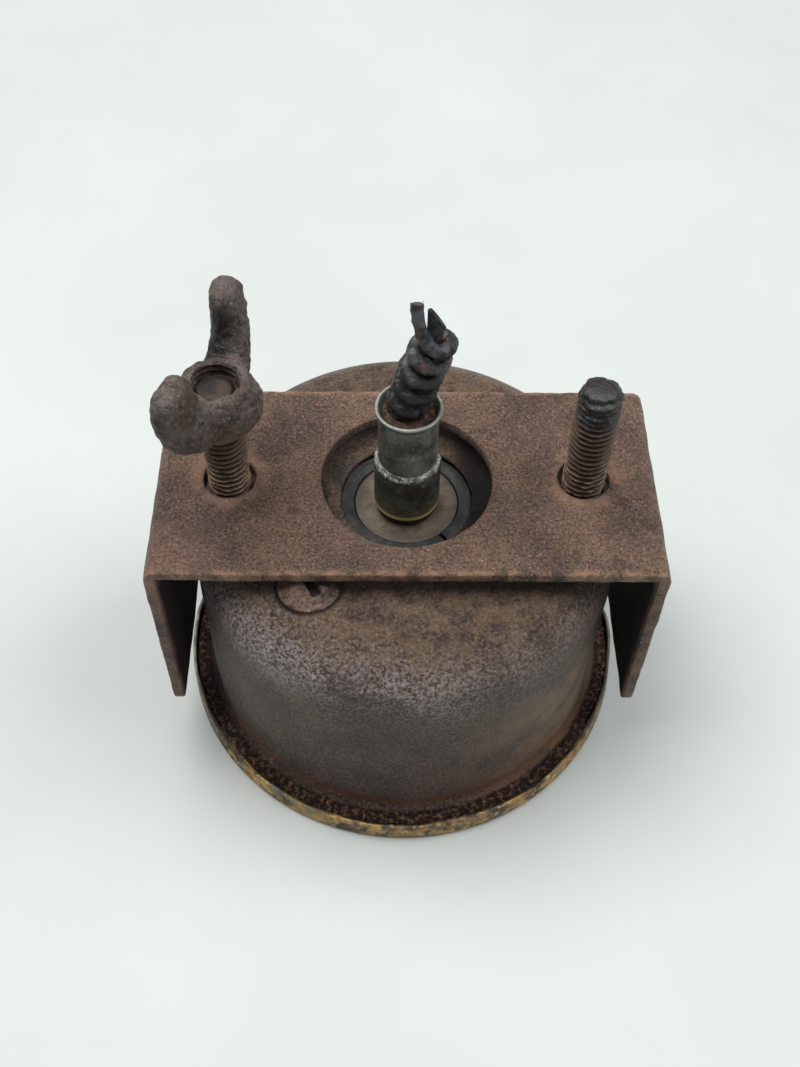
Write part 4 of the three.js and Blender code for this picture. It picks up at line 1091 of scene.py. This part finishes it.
def make_seal_flap():
    """Thin torn rubber that laps from the ring over the case back, out to a corner at the far left."""
    angle = np.linspace(math.radians(118), math.radians(196), 60)
    corner = math.radians(158)
    reach = SEAL_RADIUS - 0.2 + 1.9 * np.exp(-np.abs((angle - corner) / 0.26) ** 1.5)
    t = np.linspace(0, 1, 10)[None, :]
    inner = SEAL_RADIUS - 0.5
    r = inner + (reach[:, None] - inner) * t
    shape = np.stack([r * np.cos(angle)[:, None], r * np.sin(angle)[:, None], 0 * r], -1)
    over = np.clip((r - SEAL_RADIUS - 0.05) / 0.3, 0, 1)
    z = seal_high[2] - 0.1 + (CASE_BACK - 0.02 - seal_high[2]) * over + 0.03 * ripple(shape, 1.5, 62)
    shape[..., 2] = np.minimum(z, CASE_BACK + 0.06)
    obj = surface("seal_flap", shape, wrap_columns=False)
    solid = obj.modifiers.new("wall", "SOLIDIFY")
    solid.thickness = 0.14 * MM
    solid.offset = 0
    settle(obj)
    tidy_mesh(obj, 50)
    return obj


def armour_axis(z):
    """X of the armour's middle at a height: it leans to +X by a power of how far up it is."""
    return LEAN * np.clip((z - MOUTH) / LEAN_HEIGHT, 0, 1) ** 1.4


def make_armour():
    """Wound wire: a clockwise helix round the leaning axis, whose last third of a turn stands up.

    There it climbs by tall * (share of the end)^1.6 more, and its girth tapers by about a fifth."""
    turns, end, tall, taper = 4.0, 0.3, 4.3, 0.22
    turn = np.linspace(0, turns + end, 330)
    past = np.clip(turn - turns, 0, end) / end
    angle = math.pi + (turns + end - turn) * TAU
    z = MOUTH + 0.3 + WIRE_RADIUS + turn * COIL_PITCH + tall * past ** 1.6
    x, y = armour_axis(z) + COIL_RADIUS * np.cos(angle), COIL_Y + COIL_RADIUS * np.sin(angle)
    path = np.stack([x, y, z], -1)
    girth = WIRE_RADIUS * (1 + 0.06 * ripple(path, 1.4, 71)) * (1 - taper * past)
    obj = surface("armour_wire", swept(path, girth, 20), caps=True, smooth_angle=60)
    roughen(obj, 0.045, 0.7, 73)
    return obj


def make_tar():
    """Tar: a lumpy skin over the lower turns, bulging at each turn and ragged at its top.

    Radius = (core + bulge * (half + half cosine of the winding) + ripple noise) * a share that fades."""
    core, bulge, faded = 1.86, 0.62, 0.66
    z = np.linspace(MOUTH + 0.02, TAR_TOP, 90)[:, None]
    angle = np.linspace(0, TAU, 120, endpoint=False)[None, :]
    winding = 0.5 + 0.5 * np.cos(TAU * ((z - MOUTH - COIL_PITCH / 2) / COIL_PITCH + angle / TAU))
    place = np.stack([2.5 * np.cos(angle) + 0 * z, 2.5 * np.sin(angle) + 0 * z, z + 0 * angle], -1)
    fade = np.clip((TAR_TOP - z - 0.9 * ripple(place, 2.6, 74)) / COIL_PITCH, 0, 1)
    r = core + bulge * winding + 0.13 * ripple(place, 0.8, 75) + 0.06 * ripple(place, 0.35, 76)
    r = r * (faded + (1 - faded) * fade)
    x, y = armour_axis(z) + r * np.cos(angle), COIL_Y + r * np.sin(angle)
    return surface("tar_coat", np.stack([x, y, z + 0 * angle], -1), caps=True, smooth_angle=70)


def make_compound():
    """Compound in the sleeve's mouth: a flat ring whose top is ripple noise."""
    inner, outer = 0.95, SLEEVE_RADIUS - 0.48
    r = np.linspace(inner, outer, 26)[:, None]
    angle = np.linspace(0, TAU, 110, endpoint=False)[None, :]
    flat = np.stack([r * np.cos(angle), r * np.sin(angle), 0 * r * angle], -1)
    height = MOUTH - 0.12 + 0.10 * ripple(flat, 1.1, 81) + 0.05 * ripple(flat, 0.45, 82)
    top = np.stack([flat[..., 0], flat[..., 1], np.minimum(height, MOUTH + 0.1)], -1)
    bottom = top[::-1] * [1, 1, 0] + [0, 0, plug_low[2]]
    return surface("mouth_compound", np.concatenate([top, bottom]), wrap_rows=True, smooth_angle=60)


def make_capillary():
    """Thin tube up the armour: its broken end is crushed flat and torn to a slant.

    The crush grows from 0 to 1 over a short height; it thins the section along Y and widens it along X.
    The slant lowers each point of the end by how far it is towards +X."""
    end = stub_high[2]
    radius, crush_from, crush_over, torn_from = 0.78, end - 4.5, 2.5, end - 2.7
    z = np.linspace(stub_low[2], end, 90)
    crush = np.clip((z - crush_from) / crush_over, 0, 1)
    path = np.stack([armour_axis(z) + 0.25 * crush, COIL_Y * np.clip((z - MOUTH) / 3, 0, 1), z], -1)
    centre = path[:, None, :]
    spread = swept(path, radius, 20, reference=(0.0, 1.0, 0.0)) - centre
    spread[..., 1] *= 1 - 0.55 * crush[:, None]
    spread[..., 0] *= 1 + 0.25 * crush[:, None]
    points = centre + spread
    slant = np.clip((z - torn_from) / (end - torn_from), 0, 1)[:, None]
    points[..., 2] -= slant * np.clip(0.6 + spread[..., 0], 0, 2) * 1.5
    return surface("capillary_stub", points, caps=True, smooth_angle=50)


def make_hair():
    """One torn strand at the wire's tip: it bends to +X by the square of how far up it is, and tapers."""
    t = np.linspace(0, 1, 16)
    path = np.stack([0.75 + 0.45 * t ** 2, 0.35 + 0.2 * t, armour_high[2] - 1.1 + 1.08 * t], -1)
    return surface("torn_strand", swept(path, 0.06 * (1.2 - t), 8, reference=(1.0, 0.0, 0.0)), caps=True)


# ------------------------------------------------------------------ dial

SWEEP = math.radians(252)
ZERO = math.radians(90) - SWEEP / 2
ARC_INNER, ARC_OUTER = 21.0, 21.25
NUMBER_RADIUS, NUMBER_HEIGHT = 14.6, 3.3
FULL_SCALE = 100


def dial_angle(share):
    """The CAD angle of a share of the scale; seen from the front the scale runs clockwise."""
    return ZERO + SWEEP * share


def make_ticks():
    """Scale marks: thin boxes on rays, long at each tenth of the scale, and an arc along their ends."""
    marks, marks_per_number, arc_steps = 51, 5, 160
    front, back = DIAL_FRONT - 0.03, DIAL_FRONT + 0.01
    corners, faces = [], []
    for i in range(marks):
        angle = dial_angle(i / (marks - 1))
        inner, half = (17.6, 0.28) if i % marks_per_number == 0 else (19.2, 0.11)
        ray = np.array([math.cos(angle), math.sin(angle)])
        side = np.array([-math.sin(angle), math.cos(angle)])
        first = len(corners)
        for z in (front, back):
            for r, s in ((inner, -half), (ARC_INNER, -half), (ARC_INNER, half), (inner, half)):
                corners.append([*(ray * r + side * s), z])
        faces.append([first, first + 1, first + 2, first + 3])
        faces.append([first + 4, first + 7, first + 6, first + 5])
        for k in range(4):
            ahead = (k + 1) % 4
            faces.append([first + k, first + 4 + k, first + 4 + ahead, first + ahead])
    angle = dial_angle(np.linspace(0, 1, arc_steps))
    section = ((ARC_INNER, front), (ARC_OUTER, front), (ARC_OUTER, back), (ARC_INNER, back))
    ring = [np.stack([r * np.cos(angle), r * np.sin(angle), z + 0 * angle], -1) for r, z in section]
    first = len(corners)
    last = first + (arc_steps - 1) * 4
    corners += np.stack(ring, 1).reshape(-1, 3).tolist()
    faces += (grid_faces(arc_steps, 4, False, True) + first).tolist()
    faces += [[first + 3, first + 2, first + 1, first], [last, last + 1, last + 2, last + 3]]
    return new_object("scale_marks", corners, faces, 20)


def make_number(text, share):
    """A number on the dial, its mesh mirrored so that it reads from the front."""
    name = f"number_{text}"
    curve = bpy.data.curves.new(name, "FONT")
    curve.body = text
    curve.size = NUMBER_HEIGHT
    curve.align_x = "CENTER"
    curve.align_y = "CENTER"
    curve.extrude = 0.02
    shape = linked(name, curve)
    mesh = final_mesh(shape)
    bpy.data.objects.remove(shape)
    obj = linked(name, mesh)
    letters = vertex_array(obj) * MM
    angle = dial_angle(share)
    middle = [NUMBER_RADIUS * math.cos(angle), NUMBER_RADIUS * math.sin(angle), DIAL_FRONT - 0.01]
    set_vertices(obj, letters * [-1, 1, 1] + middle)
    tidy_mesh(obj, 30)
    return obj


# ------------------------------------------------------------------ putting it together

def dress(obj, material, body="case", nodes=()):
    """Gives a piece its finish, its body and the CAD nodes that it stands for."""
    obj.data.materials.clear()
    obj.data.materials.append(material)
    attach(obj, body)
    if nodes:
        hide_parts(*nodes)


screw_finish = rusted_screw()
fitting_finish = tarnished_fitting()
tar_finish = black_tar()
rubber_finish = perished_rubber()
brass = plain_metal("movement_brass", srgb(206, 172, 104), srgb(120, 92, 50), 0.32)
steel = plain_metal("bright_steel", srgb(190, 190, 186), srgb(104, 98, 92), 0.28, 0.4)
dull_steel = plain_metal("dull_steel", srgb(92, 86, 80), srgb(48, 38, 32), 0.5, 0.8)
ivory = aged_paint("dial_paint", srgb(226, 216, 188), srgb(176, 150, 104), 0.5)
black = aged_paint("black_paint", srgb(20, 19, 18), srgb(52, 46, 40), 0.45)

dress(make_case(), rusted_case(), nodes=["case_shell"])
dress(make_bezel(), corroded_brass(), nodes=["bezel_ring"])
dress(make_bracket(), rusted_bracket(), body="bracket", nodes=["clamp_bracket"])
for number, turn in ((1, math.radians(28)), (2, math.radians(118))):
    node = f"back_screw_{number}"
    head = make_back_screw(f"screw_head_{number}", node, turn)
    dress(head, screw_finish, nodes=[node])
for side, seed, tar_from in (("left", 45, NO_TAR), ("right", 46, STUD_TOP - 3.8)):
    node = f"stud_{side}"
    stud = make_stud(f"threaded_stud_{side}", node, seed, tar_from)
    dress(stud, threaded_rust(f"threaded_rust_{side}", tar_from), nodes=[node])
dress(make_wing_nut(), cast_nut(), body="wing_nut", nodes=["wing_nut"])
dress(make_collar(), fitting_finish, nodes=["fitting_collar"])
dress(make_sleeve(), fitting_finish, nodes=["ferrule_sleeve"])
dress(make_boss(), brown_disc(), nodes=["boss_disc"])
dress(make_seal(), rubber_finish, nodes=["seal_ring"])
dress(make_seal_flap(), rubber_finish)
dress(make_armour(), armour_metal(), nodes=["armour_spiral"])
dress(make_tar(), tar_finish)
dress(make_compound(), brown_compound(), nodes=["sealing_plug"])
dress(make_capillary(), armour_metal(), nodes=["capillary_tube"])
dress(make_hair(), tar_finish)
dress(make_ticks(), black)
for reading in range(0, FULL_SCALE + 1, 20):
    dress(make_number(str(reading), reading / FULL_SCALE), black)

slot_finishes = {
    "movement_brass": brass, "bright_steel": steel, "dark_steel": dull_steel, "dial_paint": ivory,
    "pointer_paint": black, "glass": clear_glass(), "rubber": black_rubber(),
}
for part in frame["record"]["subparts"]:
    if part["material_slot"] in slot_finishes:
        for material_slot in frame["nodes"][part["node"]].material_slots:
            material_slot.material = slot_finishes[part["material_slot"]]


# ------------------------------------------------------------------ floor, light and camera

def make_floor():
    """A wide flat board just below the part."""
    half, below = 1400.0, 0.02
    edges = np.array([-half, half])
    x, y = np.meshgrid(edges, edges)
    floor = surface("floor", np.stack([x, y, 0 * x - below], -1), wrap_columns=False)
    floor.data.materials.append(pale_floor())
    if floor.data.polygons[0].normal.z < 0:
        floor.data.flip_normals()


def stand(obj, place, axes):
    """Puts a lamp or a camera at a place in metres, with its X, Y and Z along three directions."""
    turn = Matrix(np.stack(axes, 1).tolist()).to_4x4()
    obj.matrix_world = Matrix.Translation(tuple(place)) @ turn


def soft_light(name, place, power, colour):
    """A round lamp half a metre wide that faces the part: place in metres, power in watts."""
    lamp = bpy.data.lights.new(name, "AREA")
    lamp.shape = "DISK"
    lamp.size = 0.5
    lamp.energy = power
    lamp.color = colour
    target = np.array([0, 0, 0.02])
    back = (place - target) / np.linalg.norm(place - target)
    side = np.cross([0, 0, 1], back)
    side /= np.linalg.norm(side)
    stand(linked(name, lamp), place, (side, np.cross(back, side), back))


def make_camera():
    """Camera from its place, pitch, yaw and roll; the frame is 1067 units tall for the focal length."""
    focal, tall, sensor = 1207.9, 1067.0, 36.0
    place = np.array([-2.894, -88.702, 144.924])
    pitch, yaw, roll = (math.radians(a) for a in (53.335, 1.442, 1.349))
    forward = np.array([math.sin(yaw) * math.cos(pitch), math.cos(yaw) * math.cos(pitch), -math.sin(pitch)])
    level = np.array([math.cos(yaw), -math.sin(yaw), 0.0])
    over = np.cross(level, forward)
    right = math.cos(roll) * level + math.sin(roll) * over
    up = -math.sin(roll) * level + math.cos(roll) * over
    lens = bpy.data.cameras.new("camera")
    lens.sensor_width = sensor
    lens.lens = focal * sensor / tall
    lens.clip_start, lens.clip_end = 0.005, 10.0
    camera = linked("camera", lens)
    stand(camera, place * MM, (right, up, -forward))
    bpy.context.scene.camera = camera


def make_sky():
    """An even, faintly blue light from all round."""
    world = bpy.data.worlds.new("studio")
    bpy.context.scene.world = world
    world.use_nodes = True
    sky = world.node_tree.nodes["Background"].inputs
    sky["Color"].default_value = (0.94, 0.97, 1.0, 1.0)
    sky["Strength"].default_value = 0.30


make_floor()
soft_light("window", np.array([-0.20, 0.12, 0.62]), 4.6, (1.0, 0.99, 0.97))
soft_light("fill", np.array([0.38, 0.05, 0.55]), 2.6, (0.97, 0.99, 1.0))
make_sky()
bpy.context.scene.view_settings.view_transform = "Standard"
make_camera()
